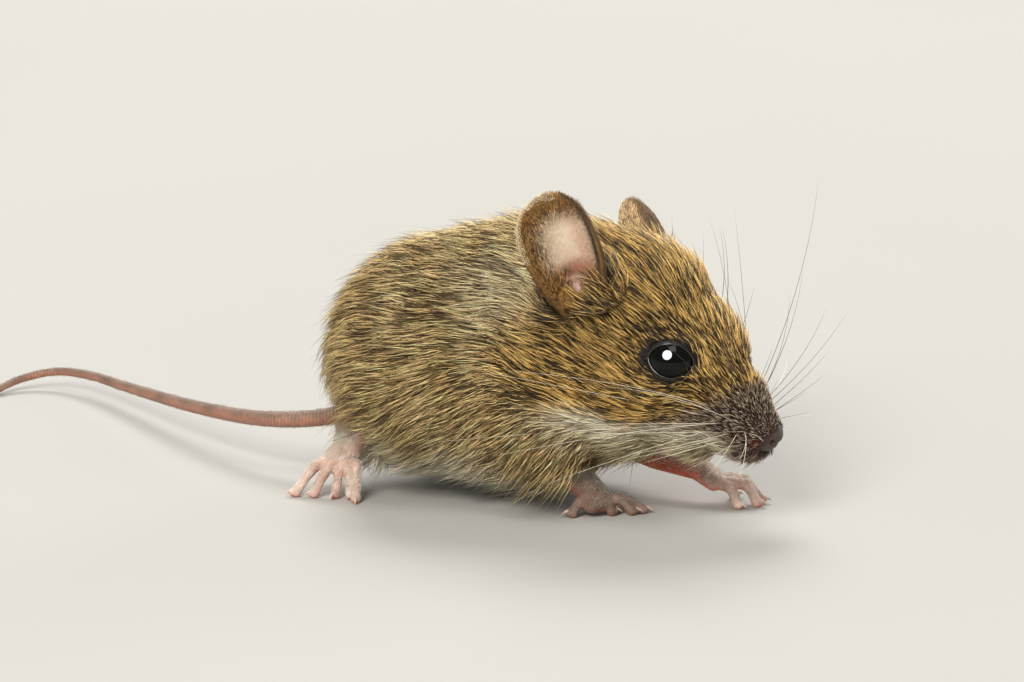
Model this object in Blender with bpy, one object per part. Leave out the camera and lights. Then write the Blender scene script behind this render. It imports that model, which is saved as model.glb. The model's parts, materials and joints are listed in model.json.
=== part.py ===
"""A young long-tailed field mouse (wood mouse) at life size, in solids, caught in mid stride.

The solids are the animal's full outline, out to the tips of its coat. All sizes below are in
millimetres. The animal faces +X, its left side is +Y, and it stands on the floor, Z = 0.
While it is modelled, the origin lies on the floor under the middle of the back; the last step
moves everything so that the origin is the middle of the base of its bounding box.
"""

import math

import bmesh
import bpy
from mathutils import Matrix, Vector

MM = 0.001
GAP = 0.3                 # left between two solids that meet
COARSE_GAP = 0.6          # the same, where the room is cut by a much coarser shape

# ---------------------------------------------------------------- driving sizes
TAIL_BASE_RADIUS = 0.88
TAIL_TIP_RADIUS = 0.30
TAIL_PIECES = 6
EYE_RADIUS = 2.2
EAR_LENGTH = 11.0
EAR_HALF_WIDTH = 4.7      # along the curve of the ear, from its middle to its rim
EAR_THICKNESS = 0.6
TOE_RADIUS = 0.48
CLAW_RADIUS = 0.26
CLAW_LENGTH = 0.9
TREAD = 0.12              # how far the pads are pressed into the floor before they are cut flat

# the head's own frame: its origin is the middle of the skull, +X runs to the nose
HEAD_CENTRE = (14.5, -0.9, 17.8)
HEAD_TURN = -8.0          # degrees, towards the animal's right
HEAD_PITCH = 32.5         # degrees, nose down
HEAD_ROLL = -5.0          # degrees, left ear down

# triangles kept in each part, and in each cutter, when its fine blend is thinned
CORE_TRIANGLES = 1660
EAR_TRIANGLES = 300
FOOT_TRIANGLES = 400
ROOM_TRIANGLES = 170

FINISHES = {              # colour (linear), roughness
    "coat_back": ((0.20, 0.125, 0.05), 0.85),
    "coat_flank": ((0.27, 0.19, 0.09), 0.85),
    "coat_face": ((0.23, 0.135, 0.05), 0.85),
    "coat_muzzle": ((0.085, 0.045, 0.035), 0.70),
    "coat_throat": ((0.46, 0.40, 0.27), 0.85),
    "nose_skin": ((0.10, 0.035, 0.03), 0.40),
    "ear_skin": ((0.30, 0.17, 0.11), 0.65),
    "foot_skin": ((0.62, 0.35, 0.29), 0.55),
    "tail_skin": ((0.32, 0.11, 0.08), 0.60),
    "eye": ((0.004, 0.004, 0.004), 0.03),
}
FINISH_OF = {             # by the first word or words of a solid's name
    "trunk": "coat_back", "neck": "coat_back", "thigh": "coat_flank", "shoulder": "coat_flank",
    "head": "coat_face", "muzzle": "coat_muzzle", "lower_jaw": "coat_throat", "nose": "nose_skin",
    "ear": "ear_skin", "foot": "foot_skin", "tail": "tail_skin", "eye": "eye",
}


def mm(*values):
    """A length or a point in millimetres, in the scene's metres."""
    return values[0] * MM if len(values) == 1 else Vector(values) * MM


HEAD = (Matrix.Translation(mm(*HEAD_CENTRE))
        @ Matrix.Rotation(math.radians(HEAD_TURN), 4, "Z")
        @ Matrix.Rotation(math.radians(HEAD_PITCH), 4, "Y")
        @ Matrix.Rotation(math.radians(HEAD_ROLL), 4, "X"))
STANCE = Matrix.Identity(4)


# ---------------------------------------------------------------- modelling helpers
def clear_scene():
    for obj in list(bpy.data.objects):
        bpy.data.objects.remove(obj)


def new_object(name, mesh):
    obj = bpy.data.objects.new(name, mesh)
    bpy.context.scene.collection.objects.link(obj)
    return obj


def object_from(bm, name):
    mesh = bpy.data.meshes.new(name)
    bm.to_mesh(mesh)
    bm.free()
    return new_object(name, mesh)


def apply_modifiers(obj):
    graph = bpy.context.evaluated_depsgraph_get()
    mesh = bpy.data.meshes.new_from_object(obj.evaluated_get(graph))
    obj.modifiers.clear()
    obj.data = mesh


def copy_of(obj, name):
    return new_object(name, obj.data.copy())


def helper(obj):
    """Marks a cutter, which is no part of the animal."""
    obj.hide_render = True
    obj.display_type = "WIRE"
    return obj


def add_ellipsoid(bm, centre, radii, frame=STANCE, pitch=0.0):
    place = (frame @ Matrix.Translation(mm(*centre))
             @ Matrix.Rotation(math.radians(pitch), 4, "Y")
             @ Matrix.Diagonal((*mm(*radii), 1)))
    bmesh.ops.create_icosphere(bm, subdivisions=4, radius=1, matrix=place)


def add_limb(bm, joints, grow=0.0):
    """Balls at the joints (x, y, z, radius), with a tapered length between each two."""
    for x, y, z, radius in joints:
        bmesh.ops.create_icosphere(bm, subdivisions=3, radius=mm(radius + grow),
                                   matrix=Matrix.Translation(mm(x, y, z)))
    for (*start, thick), (*end, thin) in zip(joints, joints[1:]):
        start, end = mm(*start), mm(*end)
        run = end - start
        place = Matrix.Translation((start + end) / 2) @ run.to_track_quat("Z", "Y").to_matrix().to_4x4()
        bmesh.ops.create_cone(bm, cap_ends=True, segments=20, radius1=mm(thick + grow),
                              radius2=mm(thin + grow), depth=run.length, matrix=place)


def blend(obj, voxel, passes):
    """Melts an object's overlapping shapes into one skin and smooths the joins."""
    remesh = obj.modifiers.new("blend", "REMESH")
    remesh.mode = "VOXEL"
    remesh.voxel_size = mm(voxel)
    smooth = obj.modifiers.new("smooth", "SMOOTH")
    smooth.factor = 0.5
    smooth.iterations = passes
    apply_modifiers(obj)


def thin_to(obj, triangles):
    """Keeps about this many triangles, the most where the surface bends the most."""
    now = sum(len(face.vertices) - 2 for face in obj.data.polygons)
    decimate = obj.modifiers.new("thin", "DECIMATE")
    decimate.ratio = min(1.0, triangles / now)
    decimate.use_collapse_triangulate = True
    apply_modifiers(obj)


def cut(target, cutter, operation="DIFFERENCE"):
    boolean = target.modifiers.new(cutter.name, "BOOLEAN")
    boolean.operation = operation
    boolean.object = cutter
    apply_modifiers(target)


def block(name, lowest, highest, frame=STANCE):
    """A box between two corners, in millimetres of the frame."""
    low, high = mm(*lowest), mm(*highest)
    place = frame @ Matrix.Translation((low + high) / 2) @ Matrix.Diagonal((*(high - low), 1))
    bm = bmesh.new()
    bmesh.ops.create_cube(bm, size=1, matrix=place)
    return helper(object_from(bm, name))


def ball(name, centre, radius, frame=STANCE):
    bm = bmesh.new()
    bmesh.ops.create_icosphere(bm, subdivisions=3, radius=mm(radius),
                               matrix=frame @ Matrix.Translation(mm(*centre)))
    return object_from(bm, name)


def drum(name, centre, radii, inner, outer):
    """An upright oval seen from the side, that reaches from inner to outer across the animal."""
    place = (Matrix.Translation(mm(centre[0], (inner + outer) / 2, centre[1]))
             @ Matrix.Rotation(math.radians(90), 4, "X")
             @ Matrix.Diagonal((*mm(radii[0], radii[1], abs(outer - inner)), 1)))
    bm = bmesh.new()
    bmesh.ops.create_cone(bm, cap_ends=True, segments=28, radius1=1, radius2=1, depth=1, matrix=place)
    return helper(object_from(bm, name))


def part_off(body, region, room, name):
    """Makes the piece of body inside region an object of its own, and clears its room in body."""
    piece = copy_of(body, name)
    cut(piece, region, "INTERSECT")
    cut(body, room)
    return piece


def part_block(body, name, lowest, highest, frame):
    """Parts off what lies in a block; its walls inside the body stand back by the gap."""
    grown_low = [value - GAP for value in lowest]
    grown_high = [value + GAP for value in highest]
    return part_off(body, block(name + "_region", lowest, highest, frame),
                    block(name + "_room", grown_low, grown_high, frame), name)


def part_drum(body, name, sign, centre, radii, depth):
    """Parts off what lies in a drum that stands out from depth, on the left (1) or right (-1)."""
    grown = [radius + GAP for radius in radii]
    return part_off(body, drum(name + "_region", centre, radii, depth * sign, OUTSIDE * sign),
                    drum(name + "_room", centre, grown, (depth - GAP) * sign, (OUTSIDE + 1) * sign), name)


def mirrored(point):
    x, y, z = point
    return (x, -y, z)


# ---------------------------------------------------------------- trunk and head
# centre, radii and pitch (degrees) of the masses of the trunk
TRUNK_MASSES = {
    "loin": ((-2.8, 0.0, 12.8), (12.0, 10.6, 11.2), -28.0),
    "withers": ((5.2, -0.2, 16.4), (9.8, 8.6, 10.0), 0.0),
    "ribs": ((6.4, -0.1, 12.8), (10.2, 9.6, 11.2), 0.0),
    "flanks": ((1.4, 0.0, 13.4), (10.8, 10.2, 12.0), 0.0),
    "belly": ((2.0, 0.0, 8.2), (12.0, 9.0, 6.8), 0.0),
    "nape": ((10.4, -0.5, 18.4), (8.0, 7.4, 8.2), 0.0),
    "throat": ((13.6, -1.2, 10.2), (6.0, 6.2, 6.2), 0.0),
}
HAUNCH = ((-4.8, 7.0, 12.2), (7.2, 4.2, 6.6))
SHOULDER = ((8.6, 5.8, 8.8), (5.0, 4.0, 6.0))

# centre, radii and pitch of the masses of the head, in the head's frame
HEAD_MASSES = {
    "skull": ((0.4, 0.0, 0.6), (7.8, 7.2, 7.1), 0.0),
    "brow": ((6.2, 0.0, 0.9), (6.3, 5.8, 5.2), 12.0),
    "bridge": ((11.0, 0.0, -0.4), (5.5, 3.6, 3.9), 10.0),
    "whisker_pads": ((13.9, 0.0, -1.1), (3.7, 3.3, 3.0), 0.0),
    "nose_end": ((16.3, 0.0, -0.3), (2.0, 1.6, 1.7), 0.0),
    "jaw": ((7.2, 0.0, -4.0), (6.6, 4.4, 2.8), 10.0),
}
CHEEK = ((4.8, 3.6, -2.2), (5.2, 3.4, 4.4))
EYE = (6.6, -4.5, 1.05)                 # the right eye's centre, in the head's frame

# where the upper legs are parted from the trunk: the (x, z) middle and half sizes of an oval seen
# from the side, and how far from the middle plane its flat inner end is
UPPER_LEGS = {
    "thigh": {"centre": (-6.4, 10.4), "radii": (7.4, 7.8), "depth": 5.4},
    "shoulder": {"centre": (8.8, 8.8), "radii": (5.2, 6.4), "depth": 5.0},
}
OUTSIDE = 16.0            # beyond the widest place of the trunk

# each piece with what it is parted from, and the block that takes it, in the head's frame
CUTS = {
    "neck": ("trunk", (-9.5, -20, -10.2), (40, 20, 20)),
    "head": ("neck", (-5.2, -20, -7.6), (40, 20, 20)),
    "muzzle": ("head", (11.4, -20, -20), (40, 20, 20)),
    "lower_jaw": ("head", (3.0, -20, -20), (40, 20, -4.0)),
    "nose": ("muzzle", (17.2, -20, -1.2), (40, 20, 20)),
}


def make_core():
    bm = bmesh.new()
    for centre, radii, pitch in TRUNK_MASSES.values():
        add_ellipsoid(bm, centre, radii, STANCE, pitch)
    for centre, radii, pitch in HEAD_MASSES.values():
        add_ellipsoid(bm, centre, radii, HEAD, pitch)
    for mass, frame in ((HAUNCH, STANCE), (SHOULDER, STANCE), (CHEEK, HEAD)):
        centre, radii = mass
        add_ellipsoid(bm, centre, radii, frame)
        add_ellipsoid(bm, mirrored(centre), radii, frame)
    core = object_from(bm, "core")
    blend(core, voxel=0.5, passes=14)
    thin_to(core, CORE_TRIANGLES)
    return core


# ---------------------------------------------------------------- ears
# where the ear leaves the head, and which way it rises and opens, in the head's frame; its front rim
# is on its own right (-1) or left (1)
EARS = {
    "ear_right": {"base": (-3.4, -4.85, 0.3), "rise": (-0.50, -0.53, 0.685), "opens": (0.66, -0.74, -0.10),
                  "front": -1},
    "ear_left": {"base": (-3.15, 4.95, 0.5), "rise": (-0.53, 0.83, 0.18), "opens": (0.82, 0.46, 0.32),
                 "front": 1},
}
EAR_WIDEST = 0.39         # how far up the ear its widest place is, halfway between its two rims
EAR_WIDEST_SHIFT = 0.16   # the front rim is widest this much lower, and the rear rim higher
EAR_ROOT_WIDTH = 0.89     # of the widest
EAR_ROOT_SHIFT = 0.08     # the front of the root is this much narrower, and the rear wider
EAR_TOP = 2.3             # how square the top is: 2 is round
EAR_TOP_SHIFT = 0.69      # the front of the top slopes more, and the rear is squarer


def ear_swell(across, along):
    """The ear's width at a height, as a share of its widest: a bell with a squarer rear corner."""
    widest = EAR_WIDEST - EAR_WIDEST_SHIFT * across
    if along < widest:
        root = EAR_ROOT_WIDTH - EAR_ROOT_SHIFT * across
        return root + (1 - root) * math.sin(math.pi / 2 * along / widest)
    power = EAR_TOP - EAR_TOP_SHIFT * across
    return max(1 - ((along - widest) / (1 - widest)) ** power, 0.001) ** 0.5


def ear_point(across, along, front, grow):
    """A point on the middle of the ear's leaf: a tube at its root that opens into a cup.

    across runs from -1 at one rim to 1 at the other, and along from 0 at the root to 1 at the tip.
    The result is (sideways, up the ear, towards the opening) in millimetres.
    """
    half_turn = math.radians(56 + 69 * (1 - along) ** 2.9)
    bend_radius = (EAR_HALF_WIDTH + grow) / half_turn * (0.8 + 0.2 * along)
    angle = across * half_turn * ear_swell(math.tanh(2.5 * across * front), along)
    lean = -1.1 * along ** 2
    return (bend_radius * math.sin(angle),
            EAR_LENGTH * along + grow * (2 * along - 1),
            bend_radius * (1 - math.cos(angle)) + lean)


def make_ear(name, base, rise, opens, front, grow=0.0):
    rise = Vector(rise).normalized()
    side = Vector(opens).cross(rise).normalized()
    turn = Matrix((side, rise, rise.cross(side))).transposed().to_4x4()
    place = HEAD @ Matrix.Translation(mm(*base)) @ turn
    bm = bmesh.new()
    bmesh.ops.create_grid(bm, x_segments=20, y_segments=20, size=1)
    for vert in bm.verts:
        vert.co = place @ mm(*ear_point(vert.co.x, (vert.co.y + 1) / 2, front, grow))
    thickness = mm(EAR_THICKNESS + 2 * grow)
    bm.normal_update()
    for vert in bm.verts:
        vert.co += vert.normal * thickness / 2
    bmesh.ops.solidify(bm, geom=bm.faces[:], thickness=thickness)
    ear = object_from(bm, name)
    blend(ear, voxel=0.22, passes=3)
    return ear


# ---------------------------------------------------------------- legs and feet
# Each leg is a run of joints (x, y, z, radius) from inside the coat to the sole, then its toes,
# each given by its knuckle (x, y, z) and the place where its tip stands on the floor (x, y).
LEGS = {
    "foot_hind_right": {
        "bones": ((-7.4, -5.0, 9.8, 1.9), (-9.7, -5.0, 6.9, 1.5), (-10.7, -5.0, 4.8, 1.35)),
        "sole": ((-11.9, -5.3, 3.6, 0.85), (-10.5, -5.3, 3.4, 0.85)),
        "toes": {
            "fifth": ((-13.6, -6.0, 2.6), (-15.0, -7.1)),
            "fourth": ((-12.4, -6.3, 2.4), (-13.3, -6.9)),
            "third": ((-11.3, -5.9, 2.4), (-11.4, -6.5)),
            "second": ((-10.3, -5.8, 2.4), (-10.0, -6.4)),
            "first": ((-9.6, -6.0, 3.2), (-9.2, -7.2)),
        },
    },
    "foot_hind_left": {
        "bones": ((-3.6, 6.0, 6.4, 1.9), (-6.4, 6.8, 2.6, 1.45), (-4.6, 7.3, 1.5, 1.15)),
        "sole": ((-0.2, 7.8, 1.15, 1.05), (1.8, 8.2, 1.1, 1.25)),
        "toes": {
            "fifth": ((2.8, 10.0, 1.1), (4.0, 11.1)),
            "fourth": ((4.2, 9.4, 1.2), (6.2, 10.2)),
            "third": ((4.5, 8.5, 1.2), (6.7, 8.8)),
            "second": ((4.3, 7.6, 1.2), (6.3, 7.4)),
            "first": ((2.6, 6.8, 1.1), (4.1, 6.1)),
        },
    },
    "foot_fore_right": {
        "bones": ((8.4, -5.4, 6.6, 1.7), (10.2, -5.2, 4.3, 1.5), (11.7, -4.4, 2.7, 1.25)),
        "sole": ((12.2, -4.4, 1.3, 1.0), (13.0, -3.5, 1.35, 1.0)),
        "toes": {
            "fifth": ((11.3, -5.0, 1.4), (10.7, -5.3)),
            "fourth": ((13.3, -3.9, 1.4), (13.8, -3.5)),
            "third": ((14.3, -3.1, 1.5), (15.4, -2.7)),
            "second": ((14.4, -2.4, 1.4), (16.1, -1.9)),
        },
    },
    "foot_fore_left": {
        "bones": ((10.2, 5.0, 5.4, 1.6), (15.1, 4.6, 3.6, 1.25), (19.3, 3.9, 3.0, 1.1)),
        "sole": ((20.9, 4.1, 2.2, 0.85), (21.1, 3.2, 2.1, 0.85)),
        "toes": {
            "fifth": ((21.7, 4.9, 1.8), (22.2, 5.6)),
            "fourth": ((23.4, 4.7, 2.1), (24.9, 5.0)),
            "third": ((23.9, 3.7, 2.0), (25.0, 3.7)),
            "second": ((22.7, 2.9, 1.8), (23.6, 2.5)),
        },
    },
}


def toe_joints(sole, knuckle, tip):
    """A toe from the edge of the sole, over its knuckle, to its pad and the end of its claw."""
    root = min(sole, key=lambda joint: (Vector(joint[:3]) - Vector(knuckle)).length)
    pad = Vector((*tip, TOE_RADIUS - TREAD))
    ahead = (pad - Vector(knuckle)) * Vector((1, 1, 0))
    claw = pad + ahead.normalized() * CLAW_LENGTH
    claw.z = CLAW_RADIUS
    return ((*root[:3], TOE_RADIUS * 1.25), (*knuckle, TOE_RADIUS * 1.12), (*pad, TOE_RADIUS),
            (*claw, CLAW_RADIUS))


def make_leg(name, leg, grow=0.0):
    bm = bmesh.new()
    add_limb(bm, (*leg["bones"], leg["sole"][0]), grow)
    add_limb(bm, (leg["bones"][-1], leg["sole"][1]), grow)
    add_limb(bm, leg["sole"], grow)
    for knuckle, tip in leg["toes"].values():
        add_limb(bm, toe_joints(leg["sole"], knuckle, tip), grow)
    obj = object_from(bm, name)
    blend(obj, voxel=0.16, passes=4)
    return obj


def make_leg_room(name, leg):
    """The room that the body leaves for a leg, which is coarser than the leg itself."""
    bm = bmesh.new()
    add_limb(bm, (*leg["bones"], leg["sole"][0]), COARSE_GAP)
    room = object_from(bm, name)
    blend(room, voxel=0.3, passes=2)
    thin_to(room, ROOM_TRIANGLES)
    return helper(room)


# ---------------------------------------------------------------- tail
# the tail's line, from inside the rump to its tip, which lies on the floor
TAIL_ROUTE = (
    (-10.5, 0.4, 7.6), (-14.2, -0.4, 5.9), (-21.0, 0.2, 4.9), (-30.2, 6.0, 3.8), (-40.8, 14.9, 2.6),
    (-46.2, 19.1, 2.2), (-50.6, 20.9, 1.8), (-53.8, 19.4, 1.1), (-55.4, 15.2, 0.35), (-56.0, 10.4, 0.2),
)


def on_curve(points, share):
    """A point on the smooth curve through the points, which runs from share 0 to 1."""
    spans = len(points) - 1
    index = min(int(share * spans), spans - 1)
    t = share * spans - index
    before, start, end, after = (Vector(points[min(max(index + step, 0), spans)]) for step in (-1, 0, 1, 2))
    return 0.5 * (2 * start + (end - before) * t + (2 * before - 5 * start + 4 * end - after) * t ** 2
                  + (3 * start - before - 3 * end + after) * t ** 3)


def tail_line(steps=400):
    """Evenly walked points of the tail, each with how far along the tail it is."""
    points = [on_curve(TAIL_ROUTE, step / steps) for step in range(steps + 1)]
    walked = [0.0]
    for start, end in zip(points, points[1:]):
        walked.append(walked[-1] + (end - start).length)
    return points, walked


def tail_radius(share):
    return TAIL_BASE_RADIUS + (TAIL_TIP_RADIUS - TAIL_BASE_RADIUS) * share ** 0.72


def make_tail_piece(name, start, end, grow=0.0, rings=7):
    """The length of tail between two distances from its root, as a capped tube."""
    points, walked = tail_line()
    total = walked[-1]
    curve = bpy.data.curves.new(name, "CURVE")
    curve.dimensions = "3D"
    curve.bevel_depth = MM
    curve.bevel_resolution = 2
    curve.use_fill_caps = True
    spline = curve.splines.new("POLY")
    spline.points.add(rings - 1)
    for ring in range(rings):
        distance = start + (end - start) * ring / (rings - 1)
        place = next((i for i, far in enumerate(walked) if far >= distance), len(points) - 1)
        spline.points[ring].co = (*mm(*points[place]), 1)
        spline.points[ring].radius = tail_radius(distance / total) + grow
    obj = new_object(name, curve)
    mesh = bpy.data.meshes.new_from_object(obj.evaluated_get(bpy.context.evaluated_depsgraph_get()))
    bpy.data.objects.remove(obj)
    obj = new_object(name, mesh)
    bm = bmesh.new()
    bm.from_mesh(mesh)
    bmesh.ops.remove_doubles(bm, verts=bm.verts, dist=mm(0.001))
    bmesh.ops.recalc_face_normals(bm, faces=bm.faces)
    bm.to_mesh(mesh)
    bm.free()
    return obj


# ---------------------------------------------------------------- finish
def paint(obj):
    """Gives a solid its own material, in the finish that its name asks for."""
    finish = next(FINISH_OF[part] for part in FINISH_OF if obj.name.startswith(part))
    colour, roughness = FINISHES[finish]
    material = bpy.data.materials.new(obj.name + "_" + finish)
    material.use_nodes = True
    shader = material.node_tree.nodes["Principled BSDF"]
    shader.inputs["Base Color"].default_value = (*colour, 1)
    shader.inputs["Roughness"].default_value = roughness
    shader.inputs["Metallic"].default_value = 0.0
    obj.data.materials.clear()
    obj.data.materials.append(material)
    obj.data.shade_smooth()
    obj.data.set_sharp_from_angle(angle=math.radians(50))


def move_origin_to_base(objects):
    corners = [vert.co for obj in objects for vert in obj.data.vertices]
    low = Vector([min(corner[axis] for corner in corners) for axis in range(3)])
    high = Vector([max(corner[axis] for corner in corners) for axis in range(3)])
    shift = Matrix.Translation((-(low.x + high.x) / 2, -(low.y + high.y) / 2, -low.z))
    for obj in objects:
        obj.data.transform(shift)


def main():
    clear_scene()
    core = make_core()
    floor = block("floor_cutter", (-90, -60, -8), (60, 60, 0))
    solids = {}

    # legs, ears, tail and eyes are made on their own, and the body is cut to take them
    for name, leg in LEGS.items():
        solids[name] = make_leg(name, leg)
        thin_to(solids[name], FOOT_TRIANGLES)
        cut(solids[name], floor)
        cut(core, make_leg_room(name + "_room", leg))
    for name, ear in EARS.items():
        solids[name] = make_ear(name, **ear)
        thin_to(solids[name], EAR_TRIANGLES)
        room = make_ear(name + "_room", **ear, grow=COARSE_GAP)
        thin_to(room, EAR_TRIANGLES)
        cut(core, helper(room))

    length = tail_line()[1][-1] / TAIL_PIECES
    for index in range(TAIL_PIECES):
        name = f"tail_{index + 1}"
        solids[name] = make_tail_piece(name, index * length + GAP, (index + 1) * length)
        cut(solids[name], floor)
    cut(core, helper(make_tail_piece("tail_room", 0, length, GAP)))

    for name, place in (("eye_right", EYE), ("eye_left", mirrored(EYE))):
        solids[name] = ball(name, place, EYE_RADIUS, HEAD)
        cut(core, helper(ball(name + "_socket", place, EYE_RADIUS + GAP, HEAD)))

    # the rest is parted with thin cuts, the largest pieces first
    for side, sign in (("right", -1), ("left", 1)):
        for limb, drum_sizes in UPPER_LEGS.items():
            name = f"{limb}_{side}"
            solids[name] = part_drum(core, name, sign=sign, **drum_sizes)
    left_over = {"trunk": core}
    for name, (source, lowest, highest) in CUTS.items():
        left_over[name] = part_block(left_over[source], name, lowest, highest, HEAD)
    solids.update(left_over)
    core.name = "trunk"

    move_origin_to_base(solids.values())
    for solid in solids.values():
        paint(solid)


main()
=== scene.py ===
import json
import math
import time

import bmesh
import bpy
import numpy as np
from mathutils import Matrix, Vector
from mathutils.bvhtree import BVHTree
from mathutils.kdtree import KDTree

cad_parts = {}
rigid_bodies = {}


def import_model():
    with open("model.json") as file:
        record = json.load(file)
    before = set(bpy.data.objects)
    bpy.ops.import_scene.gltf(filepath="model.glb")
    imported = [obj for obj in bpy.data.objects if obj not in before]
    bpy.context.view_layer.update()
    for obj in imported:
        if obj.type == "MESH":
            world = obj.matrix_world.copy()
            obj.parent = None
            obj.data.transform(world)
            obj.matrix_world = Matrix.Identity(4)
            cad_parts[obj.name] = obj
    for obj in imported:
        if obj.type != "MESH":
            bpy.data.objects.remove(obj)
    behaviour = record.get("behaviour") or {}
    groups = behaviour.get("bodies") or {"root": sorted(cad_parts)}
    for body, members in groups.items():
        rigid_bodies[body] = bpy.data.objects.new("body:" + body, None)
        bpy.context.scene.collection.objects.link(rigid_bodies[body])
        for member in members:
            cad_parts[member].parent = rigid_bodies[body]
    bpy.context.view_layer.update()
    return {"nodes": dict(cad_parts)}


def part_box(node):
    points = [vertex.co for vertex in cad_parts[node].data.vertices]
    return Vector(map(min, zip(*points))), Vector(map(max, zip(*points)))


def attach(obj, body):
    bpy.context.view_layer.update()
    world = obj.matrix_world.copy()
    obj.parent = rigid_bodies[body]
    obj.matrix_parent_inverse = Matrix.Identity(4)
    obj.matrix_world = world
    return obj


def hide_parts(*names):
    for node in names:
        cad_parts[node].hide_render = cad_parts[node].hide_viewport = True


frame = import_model()
started = time.time()
mm = 0.001


def report(stage):
    print(f"{stage}: {time.time() - started:.1f} s")


# where things are: the head's own axes come from the eyes and the nose, and the body's origin,
# on the floor under the middle of the back, from the point between the eyes
landmarks = {
    "betweenEyesOverBody": (20.58, -1.66, 15.14),
    "betweenEyesInHead": (6.6, 0.0, 1.05),
    "noseDrop": 6.8,                      # degrees from the head's axis down to the line to the nose
}


def middleOf(node):
    low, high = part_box(node)
    return (low + high) / 2


def findHead():
    eyeRight, eyeLeft = middleOf("eye_right"), middleOf("eye_left")
    between = (eyeRight + eyeLeft) / 2
    left = (eyeLeft - eyeRight).normalized()
    ahead = middleOf("nose") - between
    ahead = (ahead - left * ahead.dot(left)).normalized()
    ahead = Matrix.Rotation(math.radians(-landmarks["noseDrop"]), 3, left) @ ahead
    axes = Matrix((ahead, left, ahead.cross(left))).transposed()
    origin = between - axes @ (Vector(landmarks["betweenEyesInHead"]) * mm)
    bodyOrigin = between - Vector(landmarks["betweenEyesOverBody"]) * mm
    bodyOrigin.z = 0
    return axes, origin, bodyOrigin


headAxes, headOrigin, bodyOrigin = findHead()
headPlace = Matrix.Translation(headOrigin) @ headAxes.to_4x4()
bodyPlace = Matrix.Translation(bodyOrigin)


def atHead(x, y, z):
    return headPlace @ (Vector((x, y, z)) * mm)


def inHead(points):                       # rows of points, as millimetres in the head's frame
    return (points - np.array(headOrigin)) @ np.array(headAxes) / mm


def inBody(points):
    return (points - np.array(bodyOrigin)) / mm


# ease, mixing and a soft pattern, for whole arrays at once
def ease(low, high, value):
    share = np.clip((value - low) / (high - low), 0, 1)
    return share * share * (3 - 2 * share)


def bump(centre, width, value):
    return np.exp(-((value - centre) / width) ** 2)


def spotAt(place, centre, size):          # 1 at the centre, fading out over the given size
    return np.exp(-(((place - centre) / size) ** 2).sum(axis=1))


def mix(first, second, share):
    first, second = np.asarray(first, float), np.asarray(second, float)
    share = np.asarray(share)[:, None]
    return first * (1 - share) + second * share


def unit(vectors):
    return vectors / np.maximum(np.linalg.norm(vectors, axis=1), 1e-12)[:, None]


def ripple(points, size, seed):           # from about -1 to 1, in patches about size millimetres across
    random = np.random.default_rng(seed)
    waves = unit(random.normal(size=(7, 3))) * 2 * math.pi / size * random.uniform(0.7, 1.3, (7, 1))
    return np.sin(points / mm @ waves.T + random.uniform(0, 2 * math.pi, 7)).mean(axis=1) * 1.7


# mesh helpers
def newObject(name, mesh):
    obj = bpy.data.objects.new(name, mesh)
    bpy.context.scene.collection.objects.link(obj)
    return obj


def objectFrom(bm, name):
    mesh = bpy.data.meshes.new(name)
    bm.to_mesh(mesh)
    bm.free()
    return newObject(name, mesh)


def applyModifiers(obj):
    graph = bpy.context.evaluated_depsgraph_get()
    mesh = bpy.data.meshes.new_from_object(obj.evaluated_get(graph))
    obj.modifiers.clear()
    obj.data = mesh


def melt(obj, voxel, passes):
    remesh = obj.modifiers.new("melt", "REMESH")
    remesh.mode = "VOXEL"
    remesh.voxel_size = voxel * mm
    smooth = obj.modifiers.new("smooth", "SMOOTH")
    smooth.factor = 0.5
    smooth.iterations = passes
    applyModifiers(obj)


def readRows(items, name, width, kind=np.float32):
    values = np.empty(len(items) * width, kind)
    items.foreach_get(name, values)
    return values.reshape(-1, width)


def readPoints(mesh):
    return readRows(mesh.vertices, "co", 3).astype(float)


def writePoints(mesh, points):
    mesh.vertices.foreach_set("co", points.astype(np.float32).ravel())
    mesh.update()


def readNormals(mesh):
    return readRows(mesh.vertex_normals, "vector", 3).astype(float)


def readEdges(mesh):
    return readRows(mesh.edges, "vertices", 2, np.int32)


def spread(values, edges, passes, strength=0.5):
    count = np.maximum(np.bincount(edges.ravel(), minlength=len(values)), 1)
    values = values.copy()
    columns = values.reshape(len(values), -1)
    for turn in range(passes):
        for column in range(columns.shape[1]):
            own = columns[:, column]
            total = (np.bincount(edges[:, 0], own[edges[:, 1]], len(own))
                     + np.bincount(edges[:, 1], own[edges[:, 0]], len(own)))
            columns[:, column] = own + (total / count - own) * strength
    return values


def keepLargest(obj):                     # drops the small closed shells that hollows leave inside
    bm = bmesh.new()
    bm.from_mesh(obj.data)
    seen, groups = set(), []
    for start in bm.verts:
        if start in seen:
            continue
        group, queue = [], [start]
        seen.add(start)
        while queue:
            vert = queue.pop()
            group.append(vert)
            for edge in vert.link_edges:
                other = edge.other_vert(vert)
                if other not in seen:
                    seen.add(other)
                    queue.append(other)
        groups.append(group)
    groups.sort(key=len)
    bmesh.ops.delete(bm, geom=[vert for group in groups[:-1] for vert in group], context="VERTS")
    bm.to_mesh(obj.data)
    bm.free()
    return len(groups)


def addLimb(bm, joints, place, grow=0.0):
    for x, y, z, radius in joints:
        bmesh.ops.create_icosphere(bm, subdivisions=3, radius=(radius + grow) * mm,
                                   matrix=place @ Matrix.Translation(Vector((x, y, z)) * mm))
    for (*start, thick), (*end, thin) in zip(joints, joints[1:]):
        start, end = Vector(start) * mm, Vector(end) * mm
        run = end - start
        turned = run.to_track_quat("Z", "Y").to_matrix().to_4x4()
        bmesh.ops.create_cone(bm, cap_ends=True, segments=20, radius1=(thick + grow) * mm,
                              radius2=(thin + grow) * mm, depth=run.length,
                              matrix=place @ Matrix.Translation((start + end) / 2) @ turned)


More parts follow.
